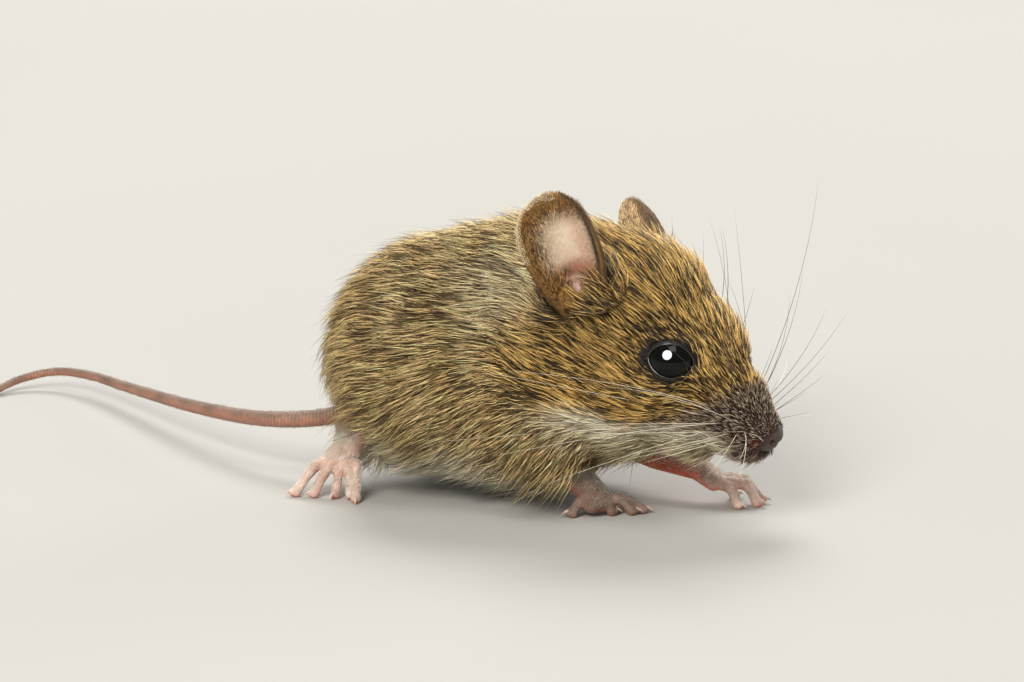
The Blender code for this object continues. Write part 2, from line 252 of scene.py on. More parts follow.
# the eyes: where each looks and how its lids open
eyes = {
    "radius": 2.2,
    "outward": (0.27, 0.92, 0.28),        # of the left eye, in the head's frame
    "along": (0.85, -0.39, 0.36),         # the line through the corners of its lids
    "halfLength": 0.90,                   # of the opening, as a share of the eyeball's radius
    "halfHeight": 0.69,
    "corner": 1.85,                       # 2 is an oval, and less gives the corners a point
    "lid": 0.13,
    "sides": {"left": 1, "right": -1},
}


def eyeFrame(side):
    sign = eyes["sides"][side]
    outward, along = (headAxes @ (Vector(eyes[way]) * Vector((1, sign, 1))) for way in ("outward", "along"))
    outward.normalize()
    along = (along - outward * along.dot(outward)).normalized()
    return [np.array(way) for way in (middleOf("eye_" + side), outward, along, outward.cross(along))]


def lidReach(points, side):               # 1 on the lids' edge, less where the eye shows; and how far off
    centre, outward, along, across = eyeFrame(side)
    ray = (points - centre) / mm
    far = np.linalg.norm(ray, axis=1)
    ray = unit(ray)
    reach = (np.abs(ray @ along / eyes["halfLength"]) ** eyes["corner"]
             + np.abs(ray @ across / eyes["halfHeight"]) ** eyes["corner"]) ** (1 / eyes["corner"])
    return np.where(ray @ outward > 0, reach, 3.0), far


# the flesh under the coat: the solids of the body, melted into one and drawn in by the coat's depth
flesh = {
    "nodes": ("trunk", "neck", "head", "muzzle", "nose", "lower_jaw", "thigh_left", "thigh_right",
              "shoulder_left", "shoulder_right", "eye_left", "eye_right"),
    "swell": 0.3,
    "voxel": 0.3,
    "passes": 8,
    "steps": 7,
    "bodyDepth": 1.45,
    "headAlong": (-4, 2, 9, 12, 15.5, 17.2),
    "headDepth": (1.1, 0.75, 0.62, 0.42, 0.30, 0.05),
}


def headShare(points):
    place = inHead(points)
    return ease(-9, -2, place[:, 0]) * ease(-11, -7.5, place[:, 2])


def coatDepth(points):
    head = headShare(points)
    onHead = np.interp(inHead(points)[:, 0], flesh["headAlong"], flesh["headDepth"])
    depth = flesh["bodyDepth"] * (1 - head) + onHead * head
    for side in eyes["sides"]:
        depth = depth * ease(2.3, 3.5, lidReach(points, side)[1])
    return depth


def makeFlesh():
    bm = bmesh.new()
    for node in flesh["nodes"]:
        bm.from_mesh(frame["nodes"][node].data)
    bmesh.ops.remove_doubles(bm, verts=bm.verts, dist=0.001 * mm)
    bm.normal_update()
    for vert, normal in [(vert, vert.normal.copy()) for vert in bm.verts]:
        vert.co += normal * flesh["swell"] * mm
    for leg in legs.values():
        addLimb(bm, leg["bones"][:2], bodyPlace, grow=0.45)
    for side in ears["sides"]:
        base = Vector(ears["sides"][side]["base"])
        rise = Vector(ears["sides"][side]["rise"]).normalized()
        addLimb(bm, ((*(base - rise * 0.8), 1.6), (*(base + rise * 0.4), 1.2)), headPlace)
    addLimb(bm, [(*point, 1.3) for point in tail["route"][:2]], bodyPlace)
    obj = objectFrom(bm, "flesh")
    melt(obj, flesh["voxel"], flesh["passes"])
    keepLargest(obj)
    mesh = obj.data
    edges = readEdges(mesh)
    points = readPoints(mesh)
    depth = spread(coatDepth(points) + flesh["swell"] * 0.8, edges, 12)
    for step in range(flesh["steps"]):
        points = points - readNormals(mesh) * (depth / flesh["steps"] * mm)[:, None]
        points = spread(points, edges, 1, 0.3)
        writePoints(mesh, points)
    return obj


# the ears: a leaf that is a tube at its root and opens into a cup, with its front edge folded in
ears = {
    "length": 11.0,
    "halfWidth": 4.7,
    "thickness": 0.46,
    "widest": (0.39, 0.16),               # how far up, and how much lower that is on the front rim
    "top": (2.3, 0.80),                   # how square, and how much rounder in front
    "rootWidth": (0.89, 0.08),            # and how much narrower in front
    "fold": 0.45,                         # how far the front edge turns in
    "near": 1.2,                          # a point nearer than this is on the ear
    "sides": {
        "right": {"base": (-3.4, -4.85, 0.3), "rise": (-0.50, -0.53, 0.685), "opens": (0.66, -0.74, -0.10),
                  "front": -1},
        "left": {"base": (-3.15, 4.95, 0.5), "rise": (-0.53, 0.83, 0.18), "opens": (0.82, 0.46, 0.32),
                 "front": 1},
    },
}


def earFrame(side):
    ear = ears["sides"][side]
    rise = Vector(ear["rise"]).normalized()
    across = Vector(ear["opens"]).cross(rise).normalized()
    turn = Matrix((across, rise, rise.cross(across))).transposed().to_4x4()
    return headPlace @ Matrix.Translation(Vector(ear["base"]) * mm) @ turn


def earSwell(toFront, along):             # its width at a height, as a share of the widest
    widest = ears["widest"][0] - ears["widest"][1] * toFront
    power = ears["top"][0] - ears["top"][1] * toFront
    root = ears["rootWidth"][0] - ears["rootWidth"][1] * toFront
    below = root + (1 - root) * np.sin(math.pi / 2 * np.minimum(along / widest, 1))
    above = np.clip((along - widest) / (1 - widest), 0, 1)
    return np.where(along < widest, below, np.sqrt(np.maximum(1 - above ** power, 0.001)))


def earBend(along):                       # half the turn from rim to rim, the bend's radius and the lean
    halfTurn = np.radians(56 + 69 * (1 - along) ** 2.9)
    return halfTurn, ears["halfWidth"] / halfTurn * (0.8 + 0.2 * along), -1.1 * along ** 2


def earPoint(across, along, front):
    halfTurn, bendRadius, lean = earBend(along)
    angle = across * halfTurn * earSwell(math.tanh(2.5 * across * front), along)
    folded = ease(0.72, 1.0, across * front) * math.sin(math.pi * min(along * 1.15, 1)) * ears["fold"]
    x = bendRadius * math.sin(angle) - front * folded * 0.35
    z = bendRadius * (1 - math.cos(angle)) + lean + folded
    return Vector((x, ears["length"] * along, z)) * mm


def earReach(points, normals, side):      # across to the front, along, whether inside, and how far off
    place = np.array(earFrame(side).inverted())
    x, y, z = (points @ place[:3, :3].T + place[:3, 3]).T / mm
    facing = normals @ place[:3, :3].T
    along = y / ears["length"]
    inEar = np.clip(along, 0, 1)
    halfTurn, bendRadius, lean = earBend(inEar)
    angle = np.arctan2(x, bendRadius - (z - lean))
    front = ears["sides"][side]["front"]
    reach = halfTurn * np.maximum(earSwell(np.tanh(2.5 * angle / halfTurn * front), inEar), 0.1)
    across = np.clip(angle / reach * front, -1.3, 1.3)
    rise = bendRadius - (z - lean)
    sunk = bendRadius - np.hypot(x, rise)
    off = np.where(sunk > 0, 0.3, 1.0) * np.abs(sunk)     # the floor of the cup is ear too
    off = off + bendRadius * np.maximum(np.abs(angle) - reach, 0) + ears["length"] * np.abs(along - inEar)
    inward = rise * facing[:, 2] - x * facing[:, 0] > 0
    inside = inward & (sunk > -0.45) | (sunk > 0.45)
    return across, inEar, inside, off


def isOnEar(kind, off):
    return (kind == kinds["ear"]) & (off < ears["near"])


def addEar(bm, side):
    place = earFrame(side)
    leaf = bmesh.new()
    bmesh.ops.create_grid(leaf, x_segments=48, y_segments=48, size=1)
    for vert in leaf.verts:
        vert.co = place @ earPoint(vert.co.x, (vert.co.y + 1) / 2, ears["sides"][side]["front"])
    leaf.normal_update()
    for vert in leaf.verts:
        vert.co += vert.normal * ears["thickness"] * mm / 2
    bmesh.ops.solidify(leaf, geom=leaf.faces[:], thickness=ears["thickness"] * mm)
    mesh = bpy.data.meshes.new("leaf")
    leaf.to_mesh(mesh)
    leaf.free()
    bm.from_mesh(mesh)
    bpy.data.meshes.remove(mesh)


# the legs, as runs of joints (x, y, z, radius) over the body's origin, and toes by knuckle and tip
legs = {
    "foot_hind_right": {
        "bones": ((-7.4, -5.0, 9.8, 1.9), (-9.7, -5.0, 6.9, 1.5), (-10.7, -5.0, 4.8, 1.3)),
        "sole": ((-11.9, -5.3, 3.6, 0.85), (-10.5, -5.3, 3.4, 0.85)),
        "toes": (((-13.6, -6.0, 2.6), (-15.0, -7.1)), ((-12.4, -6.3, 2.4), (-13.3, -6.9)),
                 ((-11.3, -5.9, 2.4), (-11.4, -6.5)), ((-10.3, -5.8, 2.4), (-10.0, -6.4)),
                 ((-9.6, -6.0, 3.2), (-9.2, -7.2))),
    },
    "foot_hind_left": {
        "bones": ((-3.6, 6.0, 6.4, 1.9), (-6.4, 6.8, 2.6, 1.45), (-4.6, 7.3, 1.5, 1.15)),
        "sole": ((-0.2, 7.8, 1.15, 1.05), (1.8, 8.2, 1.1, 1.25)),
        "toes": (((2.8, 10.0, 1.1), (4.0, 11.1)), ((4.2, 9.4, 1.2), (6.2, 10.2)),
                 ((4.5, 8.5, 1.2), (6.7, 8.8)), ((4.3, 7.6, 1.2), (6.3, 7.4)),
                 ((2.6, 6.8, 1.1), (4.1, 6.1))),
    },
    "foot_fore_right": {
        "bones": ((8.4, -5.4, 6.6, 1.7), (10.2, -5.2, 4.3, 1.5), (11.7, -4.4, 2.7, 1.25)),
        "sole": ((12.2, -4.4, 1.3, 1.0), (13.0, -3.5, 1.35, 1.0)),
        "toes": (((11.3, -5.0, 1.4), (10.7, -5.3)), ((13.3, -3.9, 1.4), (13.8, -3.5)),
                 ((14.3, -3.1, 1.5), (15.4, -2.7)), ((14.4, -2.4, 1.4), (16.1, -1.9))),
    },
    "foot_fore_left": {
        "bones": ((10.2, 5.0, 5.4, 1.6), (15.1, 4.6, 3.6, 1.2), (19.3, 3.9, 3.0, 1.05)),
        "sole": ((20.9, 4.1, 2.2, 0.85), (21.1, 3.2, 2.1, 0.85)),
        "toes": (((21.7, 4.9, 1.8), (22.2, 5.6)), ((23.4, 4.7, 2.1), (24.9, 5.0)),
                 ((23.9, 3.7, 2.0), (25.0, 3.7)), ((22.7, 2.9, 1.8), (23.6, 2.5))),
    },
}
toes = {"radius": 0.48, "waist": 0.40, "tread": 0.10, "clawLength": 0.95, "clawRadius": 0.2}


def toeRoot(leg, knuckle):
    return min(leg["sole"], key=lambda joint: (Vector(joint[:3]) - Vector(knuckle)).length)


def toePad(knuckle, tip):                 # the ball under the tip, and the way the toe points
    pad = Vector((*tip, toes["radius"] - toes["tread"]))
    ahead = (pad - Vector(knuckle)) * Vector((1, 1, 0))
    return pad, ahead.normalized()


def addLeg(bm, leg):
    addLimb(bm, (*leg["bones"], leg["sole"][0]), bodyPlace)
    addLimb(bm, (leg["bones"][-1], leg["sole"][1]), bodyPlace)
    addLimb(bm, leg["sole"], bodyPlace)
    for knuckle, tip in leg["toes"]:
        pad, ahead = toePad(knuckle, tip)
        root = toeRoot(leg, knuckle)
        middle = (Vector(knuckle) + pad) / 2 + Vector((0, 0, 0.12))
        nail = pad + ahead * toes["radius"] * 0.7 + Vector((0, 0, 0.05))
        joints = ((*root[:3], toes["radius"] * 1.2), (*knuckle, toes["radius"] * 1.05),
                  (*middle, toes["waist"]), (*pad, toes["radius"]), (*nail, toes["waist"] * 0.8))
        addLimb(bm, joints, bodyPlace)


# the tail: one smooth taper along its route over the body's origin
tail = {
    "route": ((-10.5, 0.4, 7.6), (-14.2, -0.4, 5.9), (-21.0, 0.2, 4.9), (-30.2, 6.0, 3.8),
              (-40.8, 14.9, 2.6), (-46.2, 19.1, 2.2), (-50.6, 20.9, 1.8), (-53.8, 19.4, 1.1),
              (-55.4, 15.2, 0.35), (-56.0, 10.4, 0.2)),
    "baseRadius": 0.88,
    "tipRadius": 0.30,
    "taper": 0.72,
    "steps": 90,
}


def onCurve(points, share):
    spans = len(points) - 1
    index = min(int(share * spans), spans - 1)
    t = share * spans - index
    before, start, end, after = (Vector(points[min(max(index + step, 0), spans)]) for step in (-1, 0, 1, 2))
    return 0.5 * (2 * start + (end - before) * t + (2 * before - 5 * start + 4 * end - after) * t ** 2
                  + (3 * start - before - 3 * end + after) * t ** 3)


def tailLine():                           # points (x, y, z) and how far along the tail each is
    points = [onCurve(tail["route"], step / tail["steps"]) for step in range(tail["steps"] + 1)]
    walked = [0.0]
    for start, end in zip(points, points[1:]):
        walked.append(walked[-1] + (end - start).length)
    return points, walked


def tailRadius(share):
    return tail["baseRadius"] + (tail["tipRadius"] - tail["baseRadius"]) * share ** tail["taper"]


def addTail(bm):
    points, walked = tailLine()
    joints = []
    for point, far in zip(points, walked):
        radius = tailRadius(far / walked[-1])
        joints.append((point.x, point.y, max(point.z, radius * 0.9), radius))
    addLimb(bm, joints, bodyPlace)


# which part of the animal a point of the skin is on
kinds = {"body": 0, "head": 1, "leg": 2, "tail": 3, "ear": 4}


def limbReach(points, chain):             # how far off a run of joints, and the way it runs there
    best = np.full(len(points), 99.0)
    ways = np.zeros((len(points), 3))
    for (*start, thick), (*end, slim) in zip(chain, chain[1:]):
        start, run = np.array(start), np.array(end) - np.array(start)
        share = np.clip((points - start) @ run / (run @ run), 0, 1)
        off = np.linalg.norm(points - start - share[:, None] * run, axis=1) - thick - (slim - thick) * share
        nearer = off < best
        best = np.where(nearer, off, best)
        ways[nearer] = run / np.linalg.norm(run)
    return best, ways


def legChains(leg):
    chains = [(*leg["bones"], leg["sole"][0]), leg["sole"]]
    for knuckle, tip in leg["toes"]:
        pad = toePad(knuckle, tip)[0]
        chains.append(((*toeRoot(leg, knuckle)[:3], toes["radius"] * 1.2), (*knuckle, toes["radius"]),
                       (*pad, toes["radius"])))
    return chains


def nearLimbs(points):                    # for the legs and the tail: how far off, and the way they run
    place = inBody(points)
    found = {limb: [np.full(len(points), 99.0), np.zeros((len(points), 3))] for limb in ("leg", "tail")}
    line, walked = tailLine()
    tailChain = [(*point, tailRadius(far / walked[-1])) for point, far in zip(line, walked)][::3]
    chains = [("leg", chain) for leg in legs.values() for chain in legChains(leg)] + [("tail", tailChain)]
    for limb, chain in chains:
        corners = np.array([joint[:3] for joint in chain])
        near = np.all((place > corners.min(axis=0) - 3) & (place < corners.max(axis=0) + 3), axis=1)
        off, ways = limbReach(place[near], chain)
        nearer = off < found[limb][0][near]
        rows = np.flatnonzero(near)[nearer]
        found[limb][0][rows] = off[nearer]
        found[limb][1][rows] = ways[nearer]
    return found


def kindsAt(points, normals):
    limbs = nearLimbs(points)
    result = np.where(headShare(points) > 0.5, kinds["head"], kinds["body"])
    result = np.where(limbs["tail"][0] < 0.3, kinds["tail"], result)
    body = inBody(points)
    wide = 0.3 + 0.7 * ease(11, 14, body[:, 0]) * ease(6, 5, body[:, 2])
    result = np.where(limbs["leg"][0] < wide, kinds["leg"], result)
    for side in ears["sides"]:
        across, along, inside, off = earReach(points, normals, side)
        lowest = np.where(inside, 0.0, 0.13 + 0.12 * ease(0, 0.3, across))
        result = np.where((off < ears["near"]) & (along > lowest), kinds["ear"], result)
    return result


# the skin: flesh, ears, legs and tail as one surface, with lids, nostrils and mouth worked in
skin = {
    "voxel": 0.12,
    "passes": 3,
    "nostril": {"centre": (17.75, 0.78, -0.45), "radius": 0.42, "depth": 0.6},
    "split": {"width": 0.2, "depth": 0.22},
    "mouth": {"width": 0.2, "depth": 0.2},
    "furred": 62000,                      # triangles kept where the coat hides the skin
    "triangles": 190000,
}


def mouthLine(x):                         # its height along the head
    return -2.75 + 0.16 * (x - 12) + 0.05 * (x - 12) ** 2


def shapeLids(points):
    for side in eyes["sides"]:
        centre = eyeFrame(side)[0]
        reach, far = lidReach(points, side)
        ball = eyes["radius"]
        near = far < ball + 1.6
        lid = ball + 0.03 + eyes["lid"] * ease(0.99, 1.10, reach) * (1 - ease(1.18, 1.5, reach))
        raised = np.where(near & (reach >= 1), np.maximum(far, lid), far)
        sunk = np.where(near & (reach < 1) & (far < ball + 0.8), ball - 0.45, raised)
        points = centre + unit(points - centre) * (sunk * mm)[:, None]
    return points


def shapeFace(points, normals):
    place = inHead(points)
    x, y, z = place.T
    push = np.zeros(len(points))
    nostril = skin["nostril"]
    for sign in (-1, 1):
        centre = np.array(nostril["centre"]) * (1, sign, 1)
        offset = (place - centre) / (1.2, 1.0, 0.8)
        push += nostril["depth"] * np.exp(-(offset ** 2).sum(axis=1) / nostril["radius"] ** 2)
    push += (skin["split"]["depth"] * bump(0, skin["split"]["width"], y) * ease(16.2, 17.2, x)
             * ease(0.3, -0.5, z))
    push += (skin["mouth"]["depth"] * bump(mouthLine(x), skin["mouth"]["width"], z) * ease(14, 15.5, x)
             * (1 - ease(16.8, 17.6, x)))
    return points - normals * (push * mm)[:, None]


def refine(obj, centres, radius):         # halves the edges near the given points
    bm = bmesh.new()
    bm.from_mesh(obj.data)
    chosen = [edge for edge in bm.edges
              if any((edge.verts[0].co - Vector(centre)).length < radius * mm for centre in centres)]
    bmesh.ops.subdivide_edges(bm, edges=chosen, cuts=1, use_grid_fill=True)
    bmesh.ops.triangulate(bm, faces=[face for face in bm.faces if len(face.verts) > 4])
    bm.to_mesh(obj.data)
    bm.free()


def thin(obj, chosen, ratio):             # takes triangles away at the chosen points only
    group = obj.vertex_groups.new(name="thin")
    group.add([int(index) for index in np.flatnonzero(chosen)], 1.0, "REPLACE")
    decimate = obj.modifiers.new("thin", "DECIMATE")
    decimate.ratio = ratio
    decimate.vertex_group = "thin"
    decimate.use_collapse_triangulate = True
    applyModifiers(obj)
    obj.vertex_groups.clear()


def makeSkin():
    fleshObject = makeFlesh()
    report("flesh")
    bm = bmesh.new()
    bm.from_mesh(fleshObject.data)
    bpy.data.objects.remove(fleshObject)
    for side in ears["sides"]:
        addEar(bm, side)
    for leg in legs.values():
        addLeg(bm, leg)
    addTail(bm)
    obj = objectFrom(bm, "skin")
    melt(obj, skin["voxel"], skin["passes"])
    shells = keepLargest(obj)
    report(f"skin melted, {len(obj.data.vertices)} points, {shells} shells")
    refine(obj, [eyeFrame(side)[0] for side in eyes["sides"]], 3.0)
    mesh = obj.data
    points = shapeFace(readPoints(mesh), readNormals(mesh))
    points = shapeLids(points)
    points[:, 2] = np.maximum(points[:, 2], 0.00002)
    writePoints(mesh, points)
    report("skin shaped")
    furred = kindsAt(points, readNormals(mesh)) == kinds["body"]
    faces = sum(len(face.vertices) - 2 for face in mesh.polygons)
    share = furred.mean()
    thin(obj, furred, (faces * (1 - share) + skin["furred"]) / faces)
    points = readPoints(obj.data)
    furred = kindsAt(points, readNormals(obj.data)) == kinds["body"]
    thin(obj, ~furred, skin["triangles"] / len(obj.data.polygons))
    obj.data.shade_smooth()
    return obj


# the markings, the same for the skin and for the coat over it
colours = {
    "back": (0.38, 0.228, 0.084),
    "flank": (0.50, 0.32, 0.122),
    "belly": (0.66, 0.60, 0.45),
    "crown": (0.27, 0.150, 0.034),
    "cheek": (0.36, 0.180, 0.030),
    "pale": (0.84, 0.76, 0.57),
    # partly painted shade: the lower throat's shaded brown-olive over its own yellowish tone
    "throat": (0.46, 0.37, 0.20),
    "muzzle": (0.088, 0.046, 0.035),
    "dark": (0.040, 0.025, 0.012),
    "straw": (1.00, 0.745, 0.39),
    "gold": (0.76, 0.445, 0.105),
    "silver": (0.84, 0.67, 0.46),
    "earEdge": (0.21, 0.108, 0.026),
    "earBack": (0.42, 0.27, 0.12),
    "earRim": (0.72, 0.60, 0.40),
    "earPale": (0.84, 0.68, 0.52),
    # painted shade, warm red with the painted glow of light through the ear
    "earShadedGlow": (0.50, 0.23, 0.16),
    "earRoot": (0.84, 0.62, 0.56),
    "earTuft": (0.62, 0.33, 0.09),
    "foot": (0.66, 0.42, 0.34),
    "footPale": (0.80, 0.64, 0.55),
    # painted glow: the red of light shining through the thin flesh of the feet
    "footGlow": (0.72, 0.12, 0.05),
    # painted shade: the near forefoot's darker colour where it stands in shade
    "footShade": (0.19, 0.105, 0.072),
    "footHair": (0.86, 0.79, 0.68),
    "tail": (0.40, 0.19, 0.13),
    "tailTop": (0.22, 0.145, 0.105),
    "nose": (0.078, 0.060, 0.042),
    "mouth": (0.30, 0.07, 0.055),
    "lid": (0.008, 0.007, 0.006),
}


def coatAt(points):                       # the coat's colour, its share of dark and of pale hairs, and masks
    head, body = inHead(points), inBody(points)
    onHead = headShare(points)
    patches = ripple(points, 5.0, 3)
    streaks = ripple(points, 2.2, 4)
    low = ease(8.2, 4.2, body[:, 2] + 0.7 * patches + 2.0 * ease(3, 9, body[:, 0]))
    colour = mix(colours["back"], colours["flank"], ease(19, 9, body[:, 2] + patches))
    colour = mix(colour, colours["belly"], low)
    dark = 0.27 - 0.13 * ease(20, 9, body[:, 2]) + 0.08 * patches + 0.08 * streaks
    dark = dark * (1 - 0.9 * low)
    pale = 0.24 + 0.14 * ease(20, 8, body[:, 2]) - 0.14 * patches + 0.05 * streaks
    x, y, z = head.T
    line = -2.7 - 0.55 * (12.2 - x)       # below it the cheek is pale
    under = ease(0.7, -0.9, z - line)
    face = mix(colours["crown"], colours["cheek"], bump(line + 1.8, 2.0, z) * ease(0, 4, x))
    face = mix(face, colours["pale"], under)
    # painted shade: the lower throat is darkened to a shaded brown-olive over its own yellowish tone
    throatShade = ease(-0.7, -2.2, z - line) * ease(15.5, 13.5, x)
    face = mix(face, colours["throat"], throatShade)
    edge = 0.35 * ripple(points, 1.4, 5)
    snout = (ease(-1.2, 1.2, x + edge - (11.9 + 0.62 * z))
             * ease(-0.9, 0.5, z + edge - line + 1.2 * ease(13, 15, x)))
    snout = np.maximum(snout, ease(14.5, 16, x))
    face = mix(face, colours["muzzle"], snout)
    faceDark = 0.32 + 0.14 * streaks + 0.06 * patches + 0.25 * bump(-1, 4, x) * ease(4, 6.5, z)
    faceDark = faceDark * (1 - 0.95 * under)
    facePale = (0.16 + 0.10 * ease(0, -3, z)) * (1 - 0.6 * bump(line + 1.8, 2.0, z))
    for side, sign in eyes["sides"].items():
        reach, far = lidReach(points, side)
        faceDark = np.maximum(faceDark, 0.8 * (1 - ease(0.15, 0.5, far - eyes["radius"])))
        for x0, y0, z0, size in ((6.0, 4.4, 3.9, 1.3), (3.4, 6.0, 1.9, 0.9)):   # over and behind the eye
            faceDark = faceDark + 0.3 * spotAt(head, (x0, y0 * sign, z0), size)
    colour = mix(colour, face, onHead)
    dark = dark * (1 - onHead) + faceDark * onHead
    pale = (pale * (1 - onHead) + facePale * onHead) * (1 - snout * onHead)
    gilt = np.maximum(onHead, 0.34 + 0.22 * patches + 0.20 * ease(-2, -10, body[:, 0]))
    napes = np.zeros(len(points))
    for sign in (-1, 1):                  # pale under and behind each ear, with a dark tuft between, its darkness partly painted shade behind the ear's base
        nape = spotAt(head, (-8.5, 8.0 * sign, -2.4), (3.6, 3.2, 3.2))
        tuft = 0.95 * spotAt(head, (-5.4, 8.2 * sign, -0.7), (2.4, 2.0, 1.0))
        front = spotAt(head, (-1.2, 6.9 * sign, 2.4), (1.5, 2.4, 2.2))
        colour = mix(colour, colours["belly"], 0.7 * nape)
        napes = np.maximum(napes, nape)
        gilt = gilt * (1 - 0.8 * nape)
        dark = np.maximum(dark * (1 - 0.6 * nape) + 0.25 * front, tuft)
        pale = (pale + 0.35 * nape) * (1 - tuft)
    return {"colour": colour, "dark": np.clip(dark, 0, 1), "pale": np.clip(pale, 0, 1),
            "snout": snout * onHead, "under": under * onHead, "throatShade": throatShade * onHead, "head": onHead,
            "low": np.maximum(low * (1 - onHead), 0.55 * napes), "gilt": gilt}


def earMasks(across, along):              # the pale heart of the cup, the band under it in painted shade with a warm painted glow, and the root
    lean = across - 0.16 - 0.25 * (along - 0.5)
    heart = np.exp(-np.abs(lean / 0.62) ** 3) * ease(0.24, 0.42, along) * (1 - ease(0.66, 0.86, along))
    shadedBand = np.exp(-((across - 0.22) / 0.36) ** 2) * bump(0.31, 0.085, along)
    root = np.exp(-((across - 0.10) / 0.28) ** 2) * bump(0.165, 0.06, along)
    tuft = np.exp(-((across - 0.15) / 0.6) ** 2) * (1 - ease(0.03, 0.11, along))
    return heart, shadedBand, root, tuft


def earColours(points, across, along, inside):
    heart, shadedBand, root, tuft = earMasks(across, along)
    mottle = 1 + 0.3 * ripple(points, 1.3, 12)[:, None]
    colour = mix(colours["earEdge"] * mottle, colours["earPale"], heart)
    shadow = 0.45 * bump(0.45, 0.2, across) * bump(0.5, 0.3, along)
    # painted shade and glow: the band under the heart and a shadow across the cup turn a dim warm red
    colour = mix(colour, colours["earShadedGlow"], np.maximum(shadedBand, shadow))
    colour = mix(colour, colours["earRoot"], root)
    colour = mix(colour, colours["earTuft"], tuft)
    colour = mix(colour, colours["dark"], bump(0.92, 0.14, across) * ease(0.15, 0.4, along) * 0.95)
    back = mix(colours["earBack"] * mottle, colours["earEdge"],
               np.maximum(ease(0.65, 0.25, along), ease(0.55, 0.8, across)))
    back = back * (1 - 0.5 * ease(0.7, 0.95, np.abs(across)) * ease(0.75, 0.5, along))[:, None]
    return np.clip(mix(back, colour, inside.astype(float)), 0.003, 1)


def skinColours(points, normals):
    kind = kindsAt(points, normals)
    coat = coatAt(points)
    head = inHead(points)
    # partly painted shade: the skin is the coat's colour darkened, its own darker tone and the shade in the
    # gaps between hairs
    colour = coat["colour"] * (0.34 + 0.3 * np.maximum(coat["under"], coat["low"]))[:, None]
    colour = mix(colour, colours["dark"], coat["dark"] * 0.5)
    for side in eyes["sides"]:
        reach, far = lidReach(points, side)
        ring = (1 - ease(1.10, 1.30, reach)) * (1 - ease(0.5, 0.8, far - eyes["radius"]))
        colour = mix(colour, colours["lid"], ring)
    pad = ease(16.9, 17.4, head[:, 0]) * ease(-1.6, -1.1, head[:, 2])
    colour = mix(colour, colours["nose"], pad * (kind == kinds["head"]))
    lips = bump(mouthLine(head[:, 0]), 0.4, head[:, 2]) * ease(15.0, 15.8, head[:, 0])
    lips = lips * (1 - ease(16.5, 17.0, head[:, 0]))
    colour = mix(colour, colours["mouth"], np.clip(lips, 0, 1) * (kind == kinds["head"]))
    limbs = nearLimbs(points)
    colour = mix(colour, footColours(points, normals), 1 - ease(0.2, 0.5, limbs["leg"][0]))
    upper = ease(-0.1, 0.8, normals[:, 2] + 0.3 * ripple(points, 2.0, 10))
    rope = mix(colours["tail"], colours["tailTop"], upper)
    rope = rope * (1 + 0.16 * ripple(points, 3.0, 9))[:, None]
    colour = mix(colour, rope, 1 - ease(0.2, 0.4, limbs["tail"][0]))
    for side in ears["sides"]:
        across, along, inside, off = earReach(points, normals, side)
        colour = np.where(isOnEar(kind, off)[:, None], earColours(points, across, along, inside), colour)
    return np.clip(colour, 0.002, 1)


def footColours(points, normals):
    body = inBody(points)
    spots = ripple(points, 1.1, 8)
    foot = mix(colours["foot"], colours["footPale"], ease(-0.6, 0.8, ripple(points, 2.4, 13)) * 0.8)
    # painted glow: the undersides of the feet are redder, as light shining through the thin flesh
    foot = mix(foot, colours["footGlow"], ease(-0.1, -0.7, normals[:, 2]) * 0.5)
    # painted shade: the near forefoot is darkened where it stands in shade
    foot = mix(foot, colours["footShade"], nearForefootShade(body) * np.clip(0.85 + 0.2 * spots, 0, 1))
    # painted glow: the warm light shining through the left forearm
    glow = ease(11, 15, body[:, 0]) * ease(1, 3, body[:, 1]) * (1 - ease(19.5, 22, body[:, 0]))
    foot = mix(foot, colours["footGlow"], glow * ease(0.9, 0.1, normals[:, 2]) * 0.85)
    return foot * (1 + 0.16 * spots)[:, None]


def tailAlong(points):                    # millimetres from the root of the tail
    line, walked = tailLine()
    line = np.array([tuple(point) for point in line])
    place = inBody(points)
    best = np.full(len(points), 99.0)
    along = np.zeros(len(points))
    for start, end, far in zip(line, line[1:], walked):
        run = end - start
        share = np.clip((place - start) @ run / (run @ run), 0, 1)
        off = np.linalg.norm(place - start - share[:, None] * run, axis=1)
        nearer = off < best
        best = np.where(nearer, off, best)
        along = np.where(nearer, far + share * np.linalg.norm(run), along)
    return along


def addColours(mesh, name, values):
    layer = mesh.attributes.new(name, "FLOAT_COLOR", "POINT")
    rows = np.column_stack((values, np.ones(len(values))))
    layer.data.foreach_set("color", rows.astype(np.float32).ravel())


def addNumbers(mesh, name, values):
    layer = mesh.attributes.new(name, "FLOAT", "POINT")
    layer.data.foreach_set("value", values.astype(np.float32))


def finishPiece(obj, slotName, *nodes):
    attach(obj, "root")
    if nodes:
        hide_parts(*nodes)
    return obj


# materials, all from nodes on Object coordinates or the piece's own attributes
def newMaterial(name, **values):
    material = bpy.data.materials.new(name)
    material.use_nodes = True
    shader = material.node_tree.nodes["Principled BSDF"]
    for socket, value in values.items():
        shader.inputs[socket.replace("_", " ")].default_value = value
    return material, material.node_tree.nodes, material.node_tree.links, shader


def addNode(nodes, kind, **settings):
    node = nodes.new("ShaderNode" + kind)
    for setting, value in settings.items():
        if setting in node.bl_rna.properties:
            setattr(node, setting, value)
        else:
            node.inputs[setting.replace("_", " ")].default_value = value
    return node


